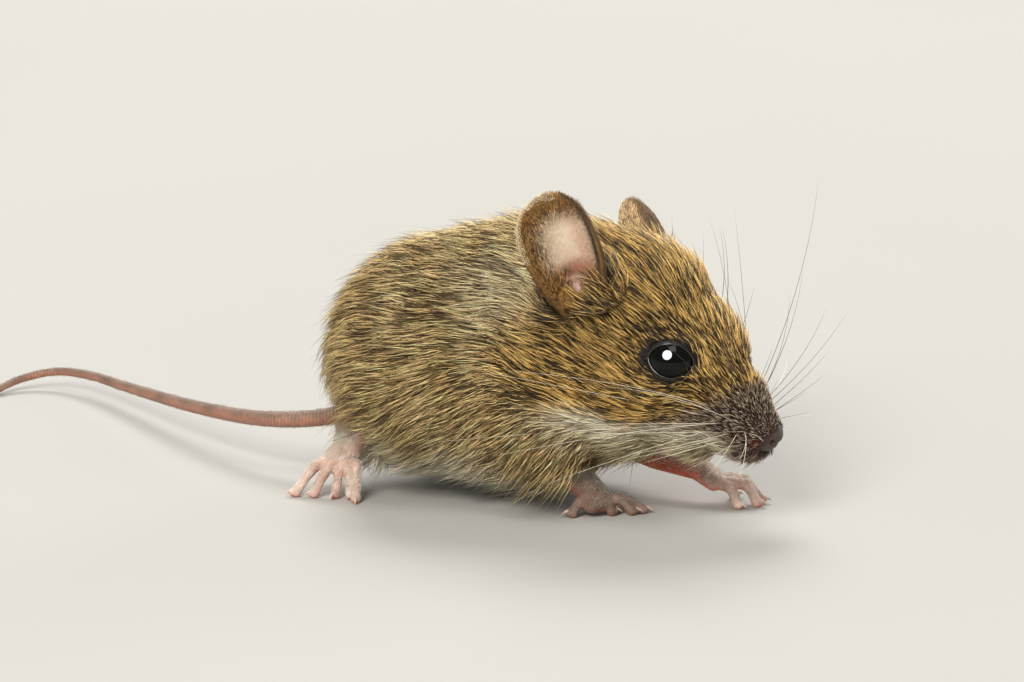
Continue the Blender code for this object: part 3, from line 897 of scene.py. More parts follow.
def cloudFinish(name, scale, detail, first, second, **values):    # two tones, mixed by a soft cloud
    material, nodes, links, shader = newMaterial(name, **values)
    place = addNode(nodes, "TexCoord")
    cloud = addNode(nodes, "TexNoise", Scale=scale, Detail=detail)
    ramp = addNode(nodes, "ValToRGB")
    for element, tone in zip(ramp.color_ramp.elements, (first, second)):
        element.color = (*tone, 1)
    links.new(place.outputs["Object"], cloud.inputs["Vector"])
    links.new(cloud.outputs["Fac"], ramp.inputs["Fac"])
    links.new(ramp.outputs["Color"], shader.inputs["Base Color"])
    return material


skinFinish = {"mottle": 2600, "wrinkle": 3400, "grain": 9000, "ringPitch": 0.34}


def makeSkinMaterial():
    material, nodes, links, shader = newMaterial("skin", Roughness=0.52, Subsurface_Weight=0.22,
                                                 Subsurface_Radius=(0.9, 0.35, 0.2), Subsurface_Scale=0.001,
                                                 Specular_IOR_Level=0.38)
    place = addNode(nodes, "TexCoord")
    colour = addNode(nodes, "Attribute", attribute_name="skinColour")
    bare = addNode(nodes, "Attribute", attribute_name="skinBare")
    along = addNode(nodes, "Attribute", attribute_name="tailAlong")
    onTail = addNode(nodes, "Attribute", attribute_name="onTail")
    mottle = addNode(nodes, "TexNoise", Scale=skinFinish["mottle"], Detail=4.0, Roughness=0.6)
    tone = addNode(nodes, "MapRange", To_Min=0.72, To_Max=1.25)
    shaded = addNode(nodes, "VectorMath", operation="SCALE")
    links.new(place.outputs["Object"], mottle.inputs["Vector"])
    links.new(mottle.outputs["Fac"], tone.inputs["Value"])
    links.new(colour.outputs["Color"], shaded.inputs[0])
    links.new(tone.outputs["Result"], shaded.inputs["Scale"])

    wrinkle = addNode(nodes, "TexVoronoi", feature="DISTANCE_TO_EDGE", Scale=skinFinish["wrinkle"])
    crease = addNode(nodes, "MapRange", From_Max=0.25)
    links.new(place.outputs["Object"], wrinkle.inputs["Vector"])
    links.new(wrinkle.outputs["Distance"], crease.inputs["Value"])
    rings = addNode(nodes, "Math", operation="MULTIPLY")
    rings.inputs[1].default_value = 2 * math.pi / skinFinish["ringPitch"]
    wave = addNode(nodes, "Math", operation="SINE")
    onRings = addNode(nodes, "Math", operation="MULTIPLY")
    links.new(along.outputs["Fac"], rings.inputs[0])
    links.new(rings.outputs[0], wave.inputs[0])
    links.new(wave.outputs[0], onRings.inputs[0])
    links.new(onTail.outputs["Fac"], onRings.inputs[1])
    height = addNode(nodes, "Math", operation="MULTIPLY_ADD")
    links.new(crease.outputs["Result"], height.inputs[0])
    links.new(bare.outputs["Fac"], height.inputs[1])
    links.new(onRings.outputs[0], height.inputs[2])
    grain = addNode(nodes, "TexNoise", Scale=skinFinish["grain"], Detail=3.0)
    links.new(place.outputs["Object"], grain.inputs["Vector"])
    total = addNode(nodes, "Math", operation="MULTIPLY_ADD")
    total.inputs[1].default_value = 0.5
    links.new(grain.outputs["Fac"], total.inputs[0])
    links.new(height.outputs[0], total.inputs[2])
    relief = addNode(nodes, "Bump", Strength=0.55, Distance=0.00004)
    links.new(total.outputs[0], relief.inputs["Height"])
    links.new(relief.outputs["Normal"], shader.inputs["Normal"])

    # painted shade: the tail is darker in the grooves between its rings, in step with the bump
    grooveShade = addNode(nodes, "MapRange", From_Min=-1.0, To_Min=0.84, To_Max=1.06)
    links.new(onRings.outputs[0], grooveShade.inputs["Value"])
    ringed = addNode(nodes, "VectorMath", operation="SCALE")
    links.new(shaded.outputs[0], ringed.inputs[0])
    links.new(grooveShade.outputs["Result"], ringed.inputs["Scale"])
    links.new(ringed.outputs[0], shader.inputs["Base Color"])
    return material


def finishSkin(obj):
    mesh = obj.data
    points, normals = readPoints(mesh), readNormals(mesh)
    kind = kindsAt(points, normals)
    addColours(mesh, "skinColour", skinColours(points, normals))
    addNumbers(mesh, "skinBare", (kind == kinds["leg"]) * 1.0)
    addNumbers(mesh, "tailAlong", tailAlong(points))
    addNumbers(mesh, "onTail", (kind == kinds["tail"]) * 1.0)
    mesh.materials.clear()
    mesh.materials.append(makeSkinMaterial())
    replaced = [name for name in frame["nodes"] if not name.startswith("eye")]
    return finishPiece(obj, "foot_skin", *replaced)


# the eyeballs, and the wet edge where the lids lie on them
def makeEye(side):
    centre, outward, along, across = (Vector(value) for value in eyeFrame(side))
    bm = bmesh.new()
    turn = Matrix((along, across, outward)).transposed().to_4x4()
    bmesh.ops.create_uvsphere(bm, u_segments=96, v_segments=64, radius=eyes["radius"] * mm,
                              matrix=Matrix.Translation(centre) @ turn)
    for vert in bm.verts:                 # the clear front bulges a little
        ray = (vert.co - centre).normalized()
        vert.co += ray * 0.05 * mm * max(ray.dot(outward), 0) ** 6
    obj = objectFrom(bm, "eyeball_" + side)
    obj.data.shade_smooth()
    obj.data.materials.append(makeEyeMaterial())
    return finishPiece(obj, "eye", "eye_" + side)


def makeEyeMaterial():
    return cloudFinish("eye", 900.0, 2.0, (0.0008, 0.0009, 0.0006), (0.004, 0.0045, 0.003),
                       Roughness=0.02, Specular_IOR_Level=0.20)


def lidPoint(side, angle, height):        # a point on the edge of the lids, at a height over the eyeball
    centre, outward, along, across = eyeFrame(side)
    c, s = math.cos(angle), math.sin(angle)
    scale = (abs(c) ** eyes["corner"] + abs(s) ** eyes["corner"]) ** (-1 / eyes["corner"])
    a, b = c * scale * eyes["halfLength"], s * scale * eyes["halfHeight"]
    ray = along * a + across * b + outward * math.sqrt(max(1 - a * a - b * b, 0.0))
    return centre + ray * (eyes["radius"] + height) * mm


lidEdge = {"steps": 72, "radius": 0.055, "height": 0.03}


def makeLidEdge(side):
    curve = bpy.data.curves.new("lidEdge", "CURVE")
    curve.dimensions = "3D"
    curve.bevel_depth = lidEdge["radius"] * mm
    curve.bevel_resolution = 2
    spline = curve.splines.new("POLY")
    spline.points.add(lidEdge["steps"] - 1)
    for step in range(lidEdge["steps"]):
        point = lidPoint(side, 2 * math.pi * step / lidEdge["steps"], lidEdge["height"])
        spline.points[step].co = (*point, 1)
    spline.use_cyclic_u = True
    holder = newObject("lidEdge", curve)
    mesh = bpy.data.meshes.new_from_object(holder.evaluated_get(bpy.context.evaluated_depsgraph_get()))
    bpy.data.objects.remove(holder)
    obj = newObject("lid_edge_" + side, mesh)
    mesh.shade_smooth()
    mesh.materials.clear()
    mesh.materials.append(cloudFinish("wet_edge", 5000.0, 2.0, (0.004, 0.003, 0.003), (0.05, 0.035, 0.03),
                                      Roughness=0.08, Coat_Weight=0.8, Coat_Roughness=0.03))
    return finishPiece(obj, "eye")


# the claws: a short horn from each toe, bent down to the floor
claws = {"sections": 5, "sides": 10, "droop": 34}


def makeClaws(name, leg, material):
    bm = bmesh.new()
    for knuckle, tip in leg["toes"]:
        pad, ahead = toePad(knuckle, tip)
        start = pad + ahead * toes["radius"] * 0.55 + Vector((0, 0, toes["radius"] * 0.42))
        step = toes["clawLength"] / claws["sections"]
        way = (ahead + Vector((0, 0, 0.25))).normalized()
        turned = way.to_track_quat("Z", "Y").to_matrix().to_4x4()
        place = Matrix.Translation(bodyPlace @ (start * mm)) @ turned
        bmesh.ops.create_circle(bm, cap_ends=True, segments=claws["sides"], radius=toes["clawRadius"] * mm,
                                matrix=place)
        bm.faces.ensure_lookup_table()
        face = bm.faces[-1]
        radius, centre = toes["clawRadius"], start.copy()
        for section in range(claws["sections"]):
            way = way.copy()
            way.rotate(Matrix.Rotation(math.radians(claws["droop"] / claws["sections"] * 2), 3,
                                       way.cross(Vector((0, 0, -1))).normalized()))
            centre = centre + way * step
            centre.z = max(centre.z, 0.06)
            thinner = toes["clawRadius"] * (1 - 0.94 * ((section + 1) / claws["sections"]) ** 1.6)
            out = bmesh.ops.extrude_face_region(bm, geom=[face])
            ring = [item for item in out["geom"] if isinstance(item, bmesh.types.BMVert)]
            middle = sum((vert.co for vert in ring), Vector()) / len(ring)
            goal = bodyPlace @ (centre * mm)
            for vert in ring:
                vert.co = goal + (vert.co - middle) * (thinner / radius)
            bmesh.ops.delete(bm, geom=[face], context="FACES_ONLY")
            face = next(item for item in out["geom"] if isinstance(item, bmesh.types.BMFace))
            radius = thinner
    bmesh.ops.recalc_face_normals(bm, faces=bm.faces)
    obj = objectFrom(bm, "claws_" + name[5:])
    obj.data.shade_smooth()
    obj.data.materials.append(material)
    return finishPiece(obj, "foot_skin")


def makeClawMaterial():
    return cloudFinish("claw", 4000.0, 3.0, (0.42, 0.24, 0.19), (0.80, 0.66, 0.56), Roughness=0.35)


# hair: closed spindles with a point at each end, joined into one mesh for each coat piece
def spindleFaces(sides, rings):           # corners, sizes and places on a patch, for one spindle
    loops, sizes, places = [], [], []
    levels = rings - 1
    for side in range(sides):
        a, b = 1 + side, 1 + (side + 1) % sides
        left, right, half = side / sides, (side + 1) / sides, (side + 0.5) / sides
        loops += [a, b, 0]
        places += [(left, 1 / levels), (right, 1 / levels), (half, 0)]
        sizes.append(3)
        for level in range(1, rings - 2):
            low, high = (level - 1) * sides, level * sides
            loops += [b + low, a + low, a + high, b + high]
            places += [(right, level / levels), (left, level / levels),
                       (left, (level + 1) / levels), (right, (level + 1) / levels)]
            sizes.append(4)
        top = (rings - 3) * sides
        loops += [b + top, a + top, (rings - 2) * sides + 1]
        places += [(right, 1 - 1 / levels), (left, 1 - 1 / levels), (half, 1)]
        sizes.append(3)
    return np.array(loops), np.array(sizes), np.array(places)


def strandObject(name, spines, radii, normals, tones, uvs=None, sides=3):
    count, rings = spines.shape[:2]
    ways = np.gradient(spines, axis=1)[:, 1:-1]
    ways /= np.maximum(np.linalg.norm(ways, axis=2), 1e-12)[:, :, None]
    across = np.cross(ways, normals[:, None, :])
    across /= np.maximum(np.linalg.norm(across, axis=2), 1e-9)[:, :, None]
    above = np.cross(across, ways)
    angles = np.arange(sides) * 2 * math.pi / sides + math.pi / 2
    ring = (across[:, :, None] * np.cos(angles)[None, None, :, None]
            + 0.75 * above[:, :, None] * np.sin(angles)[None, None, :, None]) * radii[:, :, None, None] * mm
    wall = (spines[:, 1:-1, None] + ring).reshape(count, -1, 3)
    points = np.concatenate((spines[:, :1], wall, spines[:, -1:]), axis=1)
    each = points.shape[1]
    loops, sizes, places = spindleFaces(sides, rings)
    mesh = bpy.data.meshes.new(name)
    mesh.vertices.add(count * each)
    mesh.vertices.foreach_set("co", points.astype(np.float32).ravel())
    mesh.loops.add(count * len(loops))
    strand = np.arange(count)[:, None]
    mesh.loops.foreach_set("vertex_index", (loops + each * strand).astype(np.int32).ravel())
    starts = np.concatenate(([0], np.cumsum(sizes)[:-1]))
    mesh.polygons.add(count * len(sizes))
    mesh.polygons.foreach_set("loop_start", (starts + len(loops) * strand).astype(np.int32).ravel())
    mesh.update(calc_edges=True)
    mesh.shade_smooth()
    walls = np.repeat(tones[:, 1:-1], sides, axis=1)
    tones = np.concatenate((tones[:, :1], walls, tones[:, -1:]), axis=1)
    addColours(mesh, "hairColour", tones.reshape(-1, 3))
    if uvs is not None:
        layer = mesh.uv_layers.new(name="OFBake")
        flat = uvs[:, None] + ((places - 0.5) * coats["patch"])[None]
        layer.data.foreach_set("uv", flat.astype(np.float32).ravel())
    return newObject(name, mesh)


def makeHairMaterial(name, roughness):
    material, nodes, links, shader = newMaterial(name, Roughness=roughness, Specular_IOR_Level=0.5)
    place = addNode(nodes, "TexCoord")
    colour = addNode(nodes, "Attribute", attribute_name="hairColour")
    cloud = addNode(nodes, "TexNoise", Scale=1400.0, Detail=3.0)
    tone = addNode(nodes, "MapRange", To_Min=0.75, To_Max=1.25)
    shaded = addNode(nodes, "VectorMath", operation="SCALE")
    links.new(place.outputs["Object"], cloud.inputs["Vector"])
    links.new(cloud.outputs["Fac"], tone.inputs["Value"])
    links.new(colour.outputs["Color"], shaded.inputs[0])
    links.new(tone.outputs["Result"], shaded.inputs["Scale"])
    links.new(shaded.outputs[0], shader.inputs["Base Color"])
    return material


coats = {
    "patch": 0.003,                       # of each hair on the OFBake map
    "margin": 0.01,
    "seed": 11,
    "bodyLength": 2.6,
    "headAlong": (-4, 2, 8, 11, 14, 16.3, 17.3),
    "headLength": (2.5, 2.3, 2.0, 1.45, 0.95, 0.55, 0.25),
    "bend": 0.42,                         # how far along each hair its widest place is
    "top": 0.145,                         # the share of long strands over the others
    "guard": 0.05,                        # and of the body's longest
    "frosted": 0.14,                      # and of the muzzle's under hairs with pale tips
    "topWidth": 0.036,
    "width": 0.034,
    "sunk": 0.08,                         # how deep each stands in the skin
    "strength": (0.74, 1.28),             # of a light hair's colour, from one to another
    "locks": {"muzzle": 9, "back_left": 16, "back_right": 16},           # hairs in a lock
    "lock": 13,                           # and elsewhere
    "most": 32500,                        # hairs in one piece
    # length, lift at the root and at the tip, and width, where the skin is almost bare
    "bare": {"leg": (0.62, 14, 4, 0.020), "tail": (0.60, 12, 3, 0.016), "ear": (0.85, 12, 3, 0.022)},
}


def lieAt(points, normals, kind, limbs):  # the way the hair runs over the skin
    ahead = np.array(headAxes)[:, 0]
    onHead = headShare(points)
    nose = np.array(atHead(17.6, 0, -0.3))
    headLie = -0.8 * ahead + 0.75 * unit(points - nose)
    for side in eyes["sides"]:            # it parts in front of each eye
        toEye = np.array(middleOf("eye_" + side)) - points
        far = np.linalg.norm(toEye, axis=1) / mm
        toEye = unit(toEye)
        towards = np.maximum((headLie * toEye).sum(axis=1), 0) * bump(2.0, 1.6, far)
        headLie = headLie - toEye * towards[:, None]
    x, y, z = inBody(points).T
    down = np.interp(z, (2, 6, 10, 16, 24), (0.9, 0.75, 0.45, 0.16, -0.05)) + 0.5 * ease(-5, -13, x)
    down = down + 0.7 * ease(5, 12, x) * ease(13, 7, z)
    bodyLie = np.column_stack((-np.ones(len(points)), np.zeros(len(points)), -down))
    lie = mix(bodyLie, headLie, onHead)
    for limb in ("leg", "tail"):
        lie = np.where((kind == kinds[limb])[:, None], limbs[limb][1], lie)
    for side in ears["sides"]:
        across, along, inside, off = earReach(points, normals, side)
        rise = np.array(earFrame(side))[:3, 1]
        outwards = np.array(earFrame(side))[:3, 0] * ears["sides"][side]["front"]
        way = rise + outwards * (across * 0.5)[:, None]
        lie = np.where(isOnEar(kind, off)[:, None], way, lie)
    return lie


def turnLie(lie, normals, turn):          # laid on the skin, and turned on it by an angle
    lie = unit(lie - normals * (lie * normals).sum(axis=1)[:, None])
    return lie * np.cos(turn)[:, None] + np.cross(normals, lie) * np.sin(turn)[:, None]


regions = {                               # the slot of each coat piece
    "back_left": "coat_back", "back_right": "coat_back", "flank_left": "coat_flank",
    "flank_right": "coat_flank", "belly": "coat_throat", "crown_left": "coat_face",
    "crown_right": "coat_face", "muzzle": "coat_muzzle", "throat": "coat_throat",
    "ears": "ear_skin", "legs": "foot_skin", "tail": "tail_skin",
}


def regionAt(points, normals, kind):
    body, head = inBody(points), inHead(points)
    coat = coatAt(points)
    angle = np.degrees(np.arctan2(np.abs(body[:, 1]), body[:, 2] - 11))
    side = np.where(body[:, 1] > 0, "left", "right")
    region = np.where(angle < 62, np.char.add("back_", side),
                      np.where(angle < 122, np.char.add("flank_", side), "belly"))
    face = np.char.add("crown_", np.where(head[:, 1] > 0, "left", "right"))
    face = np.where(coat["under"] > 0.6, "throat", face)
    face = np.where(coat["snout"] > 0.5, "muzzle", face)
    region = np.where(kind == kinds["head"], face, region)
    for limb, name in (("leg", "legs"), ("tail", "tail"), ("ear", "ears")):
        region = np.where(kind == kinds[limb], name, region)
    return region


densities = {                             # hairs to the square millimetre
    "body": 54.0, "head": 96.0, "snout": 110.0, "leg": 30.0, "tail": 10.0, "earEdge": 75.0, "earHeart": 14.0,
}


def densityAt(points, normals, kind):
    head, body = inHead(points), inBody(points)
    onHead = headShare(points)
    coat = coatAt(points)
    density = densities["body"] * (1 - onHead) + densities["head"] * onHead
    density = density * (1 - coat["snout"]) + densities["snout"] * coat["snout"]
    for side in eyes["sides"]:
        reach, far = lidReach(points, side)
        density = density * np.where(far < eyes["radius"] + 0.45, ease(1.02, 1.08, reach), 1)
    pad = ease(16.8, 17.2, head[:, 0]) * ease(-1.7, -1.2, head[:, 2])
    lips = bump(mouthLine(head[:, 0]), 0.2, head[:, 2]) * ease(15.4, 16.2, head[:, 0])
    density = density * (1 - pad) * (1 - lips)
    leg = densities["leg"] * ease(-0.5, 0.0, normals[:, 2]) * ease(0.3, 1.0, body[:, 2])
    density = np.where(kind == kinds["leg"], leg * (1 + 1.5 * ease(3, 6, body[:, 2])), density)
    density = np.where(kind == kinds["tail"], densities["tail"], density)
    for side in ears["sides"]:
        across, along, inside, off = earReach(points, normals, side)
        heart, shadedBand, root, tuft = earMasks(across, along)
        bare = np.maximum(heart, np.maximum(shadedBand, root)) * inside
        onEar = densities["earEdge"] * (1 - bare) + densities["earHeart"] * bare
        density = np.where(isOnEar(kind, off), onEar, density)
    return density


def hairTones(points, normals, kind, lead, top, random):
    coat = coatAt(points)
    count = len(points)
    luck = random.random(count)
    luck = np.where(random.random(count) < 0.25, luck[lead], luck)      # a lock is partly of one tone
    shade = (1 + 0.18 * ripple(points, 1.5, 21) + 0.12 * random.normal(size=count))[:, None]
    plain = coat["colour"]
    bright = np.maximum(coat["low"], coat["under"])
    light = mix(mix(colours["straw"], colours["gold"], coat["gilt"] * 0.85), colours["pale"], bright)
    # painted shade: pale hairs on the lower throat take its darker shaded tone
    light = mix(light, np.array(colours["throat"]) * 1.3, coat["throatShade"] * 0.75)
    light = light * random.uniform(*coats["strength"], count)[:, None]
    isDark = luck < np.where(top, 0.16 + 0.5 * coat["dark"], 0.12 + 1.3 * coat["dark"]) * (1 - 0.35 * bright)
    black = mix(colours["dark"], plain * 0.45, np.maximum(bright, 0.4 * (1 - coat["head"])))
    isPale = (luck > 1 - coat["pale"]) | (top & (coat["snout"] < 0.45))
    # partly painted shade: the under hairs are darker than the coat's colour, for the shade under the long
    # strands
    ground = (0.56 + 0.27 * bright)[:, None]
    middle = np.where(isDark[:, None], black, np.where(isPale[:, None], light * 0.9, plain * ground))
    tip = mix(plain * ground * 1.2, light, np.full(count, 0.15))
    tip = np.where(isDark[:, None], black * 1.3, np.where(isPale[:, None], light * 1.15, tip))
    frosted = (top | (luck < coats["frosted"])) & (coat["snout"] > 0.45)
    tip = np.where(frosted[:, None], colours["silver"], tip)
    tip = np.where(((coat["snout"] > 0.45) & ~frosted)[:, None], plain * 1.1, tip)
    # partly painted shade: the roots are darker, the hair's own dark base and the shade deep in the coat
    root = middle * (0.25 + 0.35 * bright)[:, None]

    for side in ears["sides"]:
        across, along, inside, off = earReach(points, normals, side)
        onEar = isOnEar(kind, off)
        own = earColours(points, across, along, inside)
        heart, shadedBand, cup, tuft = earMasks(across, along)
        gold = np.where(random.random(count) < 0.42, 0.28, 1.9)[:, None]
        gold = np.where((across > 0.7)[:, None], 0.8, gold)
        gold = np.where(((heart + shadedBand + cup > 0.5) & inside)[:, None], 1.15, gold)
        rim = (((along > 0.93) | (across < -0.93)) & (along > 0.55) & (across < 0.25))[:, None]
        own = np.where(rim, colours["earRim"], own * gold)
        for tone, share in ((root, 0.6), (middle, 1.0), (tip, 1.3)):
            tone[onEar] = (own * share)[onEar]
    limb = kind == kinds["leg"]
    body = inBody(points)
    fine = mix(colours["footHair"], plain, furOnLegs(body))
    # painted shade: the near forefoot's hairs are darkened too
    fine = fine * (1 - 0.55 * nearForefootShade(body))[:, None]
    for tone, share in ((root, 0.8), (middle, 1.0), (tip, 1.15)):
        tone[limb] = (fine * share)[limb]
    bristle = kind == kinds["tail"]
    for tone, shown in ((root, (0.20, 0.13, 0.09)), (middle, (0.24, 0.16, 0.11)), (tip, (0.44, 0.34, 0.25))):
        tone[bristle] = shown
    return np.clip(np.stack((root * shade, middle * shade, tip * shade), axis=1), 0.003, 0.95)


# the near forefoot, where its painted shade goes
def nearForefootShade(body):
    return ease(8, 10, body[:, 0]) * ease(0, -1.5, body[:, 1])


def furOnLegs(body):                      # the trunk's coat runs down the front legs, less down the hind
    start = 3.2 + 2.4 * ease(-6, -9, body[:, 0]) + 3.0 * ease(12, 15, body[:, 0]) * ease(0, 2, body[:, 1])
    return ease(0, 3, body[:, 2] - start)


def hairShape(points, normals, kind, top, random):
    head, body = inHead(points), inBody(points)
    onHead = headShare(points)
    coat = coatAt(points)
    count = len(points)
    chest = ease(3, 7, body[:, 0]) * ease(16, 12, body[:, 0]) * ease(8.5, 5.5, body[:, 2])
    onTrunk = coats["bodyLength"] + 0.6 * ease(10, 5, body[:, 2]) - 0.4 * ease(6, 14, body[:, 0])
    onTrunk = onTrunk + 1.1 * chest
    onFace = np.interp(head[:, 0], coats["headAlong"], coats["headLength"]) + 0.8 * coat["under"]
    length = onTrunk * (1 - onHead) + onFace * onHead
    for side in eyes["sides"]:
        reach, far = lidReach(points, side)
        length = length * (0.55 + 0.45 * ease(0.1, 1.5, far - eyes["radius"]))
    guard = (random.random(count) < coats["guard"]) & (kind == kinds["body"])
    length = length * random.uniform(0.75, 1.15, count) * np.where(guard, 1.3, 1.0)
    length = length * np.where(top, 1.45 - 0.15 * onHead, 0.86)
    atEar = np.zeros(count)
    for side in ears["sides"]:
        across, along, inside, off = earReach(points, normals, side)
        atEar = np.maximum(atEar, ease(2.2, 0.6, off) * (along < 0.3) * (kind == kinds["head"]) * ~inside
                           * (0.1 if side == "left" else 0.5))
    length = length + 0.9 * atEar
    rootLift = 34 * (1 - onHead) + 27 * onHead + 22 * coat["snout"] + 16 * atEar
    tipLift = 8 * (1 - onHead) + 7 * onHead + 26 * coat["snout"] + 4 * top + 5 * guard
    width = np.where(top, coats["topWidth"] + 0.004 * onHead, coats["width"] - 0.008 * onHead)
    width = width * np.where(guard, 0.85, 1.0)
    width = width - 0.003 * coat["snout"]
    for limb, values in coats["bare"].items():
        chosen = kind == kinds[limb]
        length = np.where(chosen, values[0] * random.uniform(0.7, 1.2, count), length)
        rootLift = np.where(chosen, values[1], rootLift)
        tipLift = np.where(chosen, values[2], tipLift)
        width = np.where(chosen, values[3], width)
    for side in ears["sides"]:
        across, along, inside, off = earReach(points, normals, side)
        heart, shadedBand, cup, tuft = earMasks(across, along)
        bare = np.maximum(heart, shadedBand) * inside + 1.2 * ease(0.80, 0.95, along)
        bare = bare + ease(0.8, 1.0, np.abs(across))
        onEar = isOnEar(kind, off)
        length = np.where(onEar, length * (1 - 0.55 * np.clip(bare + cup, 0, 1) + 0.1 * tuft), length)
    high = (kind == kinds["leg"]) * furOnLegs(body)
    length, width = length + 1.4 * high, width + 0.014 * high
    near = (kind == kinds["leg"]) * ease(2.0, 0.8, body[:, 2])
    length = length * (1 - 0.45 * near)
    return length, rootLift + 7 * random.normal(size=count), tipLift + 6 * random.normal(size=count), width


def unwrapPatch(mesh, rows):              # the faces' corners on an unwrap of their own shape, filling 0 to 1
    corners = np.array([tuple(mesh.polygons[row].vertices) for row in rows])
    used, local = np.unique(corners, return_inverse=True)
    local = local.reshape(-1, 3)
    patch = bpy.data.meshes.new("patch")
    patch.from_pydata(readPoints(mesh)[used].tolist(), [], local.tolist())
    holder = newObject("patch", patch)
    bpy.context.view_layer.objects.active = holder
    holder.select_set(True)
    bpy.ops.object.mode_set(mode="EDIT")
    bpy.ops.mesh.select_all(action="SELECT")
    bpy.ops.uv.smart_project(angle_limit=math.radians(66), island_margin=0.004)
    bpy.ops.object.mode_set(mode="OBJECT")
    flat = readRows(patch.uv_layers.active.data, "uv", 2).reshape(-1, 3, 2).astype(float)
    bpy.data.objects.remove(holder)
    low, high = flat.reshape(-1, 2).min(axis=0), flat.reshape(-1, 2).max(axis=0)
    return coats["margin"] + (flat - low) / (high - low) * (1 - 2 * coats["margin"])


def plantHairs(points, corners, rows, wanted, random):   # chosen faces, and where on each a hair stands
    total = wanted[rows].sum()
    count = int(min(total, coats["most"]))
    steps = (np.arange(count) + random.random(count)) * total / count
    picked = np.minimum(np.searchsorted(np.cumsum(wanted[rows]), steps), len(rows) - 1)
    share = random.random((count, 2))
    share = np.where(share.sum(axis=1)[:, None] > 1, 1 - share, share)
    share = np.column_stack((1 - share.sum(axis=1), share))[:, :, None]
    return picked, share, (points[corners[rows[picked]]] * share).sum(axis=1), total


def findLeads(middles, every, random):    # for each hair, the one that leads its lock
    centres = random.permutation(len(middles))[:max(len(middles) // every, 1)]
    tree = KDTree(len(centres))
    for number, centre in enumerate(centres):
        tree.insert(middles[centre], number)
    tree.balance()
    return centres[np.array([tree.find(point)[1] for point in middles])]


def raised(way, upright, degrees, length):
    turn = np.radians(degrees)[:, None]
    return (way * np.cos(turn) + upright * np.sin(turn)) * (length * mm)[:, None]


def growCoat(mesh):
    random = np.random.default_rng(coats["seed"])
    material = makeHairMaterial("hair", 0.45)
    points, normals = readPoints(mesh), readNormals(mesh)
    corners = readRows(mesh.loops, "vertex_index", 1, np.int32).reshape(-1, 3)
    middles = points[corners].mean(axis=1)
    facing = unit(normals[corners].mean(axis=1))
    faceKind = kindsAt(middles, facing)
    region = regionAt(middles, facing, faceKind)
    first, second, third = (points[corners[:, column]] for column in range(3))
    area = np.linalg.norm(np.cross(second - first, third - first), axis=1) / 2 / mm ** 2
    wanted = area * densityAt(middles, facing, faceKind)
    report("coat planned")
    for name, slotName in regions.items():
        rows = np.flatnonzero(region == name)
        picked, share, roots, total = plantHairs(points, corners, rows, wanted, random)
        count = len(picked)
        chosen = rows[picked]
        upright = unit((normals[corners[chosen]] * share).sum(axis=1))
        kind = faceKind[chosen]
        uvs = (unwrapPatch(mesh, rows)[picked] * share).sum(axis=1)

        turn = 0.22 * ripple(roots, 4.5, 31) + 0.13 * ripple(roots, 1.7, 32)
        turn = turn + 0.09 * random.normal(size=count)
        way = turnLie(lieAt(roots, upright, kind, nearLimbs(roots)), upright, turn)
        top = random.random(count) < coats["top"] + 0.03 * coatAt(roots)["snout"]
        length, rootLift, tipLift, width = hairShape(roots, upright, kind, top, random)
        middle = roots + raised(way, upright, rootLift, length * coats["bend"])
        tip = middle + raised(way, upright, tipLift, length * (1 - coats["bend"]))
        # tips lean together into locks, which are tightest on the muzzle
        lead = findLeads(middle, coats["locks"].get(name, coats["lock"]), random)
        pull = (0.34 + 0.30 * coatAt(roots)["snout"]) * random.uniform(0.5, 1.3, count)
        pull = pull * np.isin(kind, (kinds["body"], kinds["head"]))
        pull = pull * (np.linalg.norm(tip[lead] - tip, axis=1) < length * 0.5 * mm)
        tip = tip + (tip[lead] - tip) * pull[:, None]
        tip[:, 2] = np.maximum(tip[:, 2], 0.0001)
        middle[:, 2] = np.maximum(middle[:, 2], 0.00015)
        spines = np.stack((roots - upright * coats["sunk"] * mm, middle, tip), axis=1)
        tones = hairTones(roots, upright, kind, lead, top, random)
        obj = strandObject("coat_" + name, spines, width[:, None], upright, tones, uvs)
        obj.data.materials.append(material)
        finishPiece(obj, slotName)
        print(f"  coat_{name}: {count} hairs of {total:.0f}, {len(obj.data.polygons)} triangles")


# the whiskers: rows on each pad, and a few over the eyes
whiskers = {
    "rows": (                             # along the pad, up it, how many, and the way of its first and last
        (12.8, 15.4, 1.0, 5, (-0.35, -0.45, 0.95), (0.55, -0.35, 0.95), True),
        (12.5, 15.7, 0.3, 5, (-0.60, -0.80, 0.60), (0.60, -0.55, 0.60), True),
        (12.3, 15.8, -0.5, 5, (-0.85, -0.75, 0.10), (0.60, -0.65, 0.35), False),
        (12.3, 15.6, -1.2, 6, (-0.95, -0.60, -0.25), (0.50, -0.80, -0.10), False),
        (12.6, 15.2, -1.9, 6, (-0.90, -0.50, -0.50), (-0.10, -0.60, -0.75), False),
    ),
    "brow": ((5.6, 4.2, 8.5), (6.6, 4.4, 9.5), (8.6, 3.7, 6.0)),       # along, up and length
    "browWay": (-0.35, -0.15, 1.0),
    "back": 0.30,                         # how far they bend back, and down when dark or pale
    "down": {True: 0.22, False: 0.45},
    "tone": {True: (0.045, 0.030, 0.022), False: (0.90, 0.82, 0.66)},
    "longest": 21.0,
    "shortest": 5.5,
    "radius": 0.036,
    "rings": 10,
    "seed": 5,
}


def planWhiskers():                       # along, up, way, length and whether dark, for the right side
    plan = []
    for back, front, up, count, first, last, isDark in whiskers["rows"]:
        for column in range(count):
            share = column / (count - 1)
            way = Vector(first).lerp(Vector(last), share)
            length = whiskers["longest"] + (whiskers["shortest"] - whiskers["longest"]) * share ** 0.8
            plan.append((back + (front - back) * share, up, way, length, isDark))
    plan += [(x, z, Vector(whiskers["browWay"]), length, True) for x, z, length in whiskers["brow"]]
    return plan


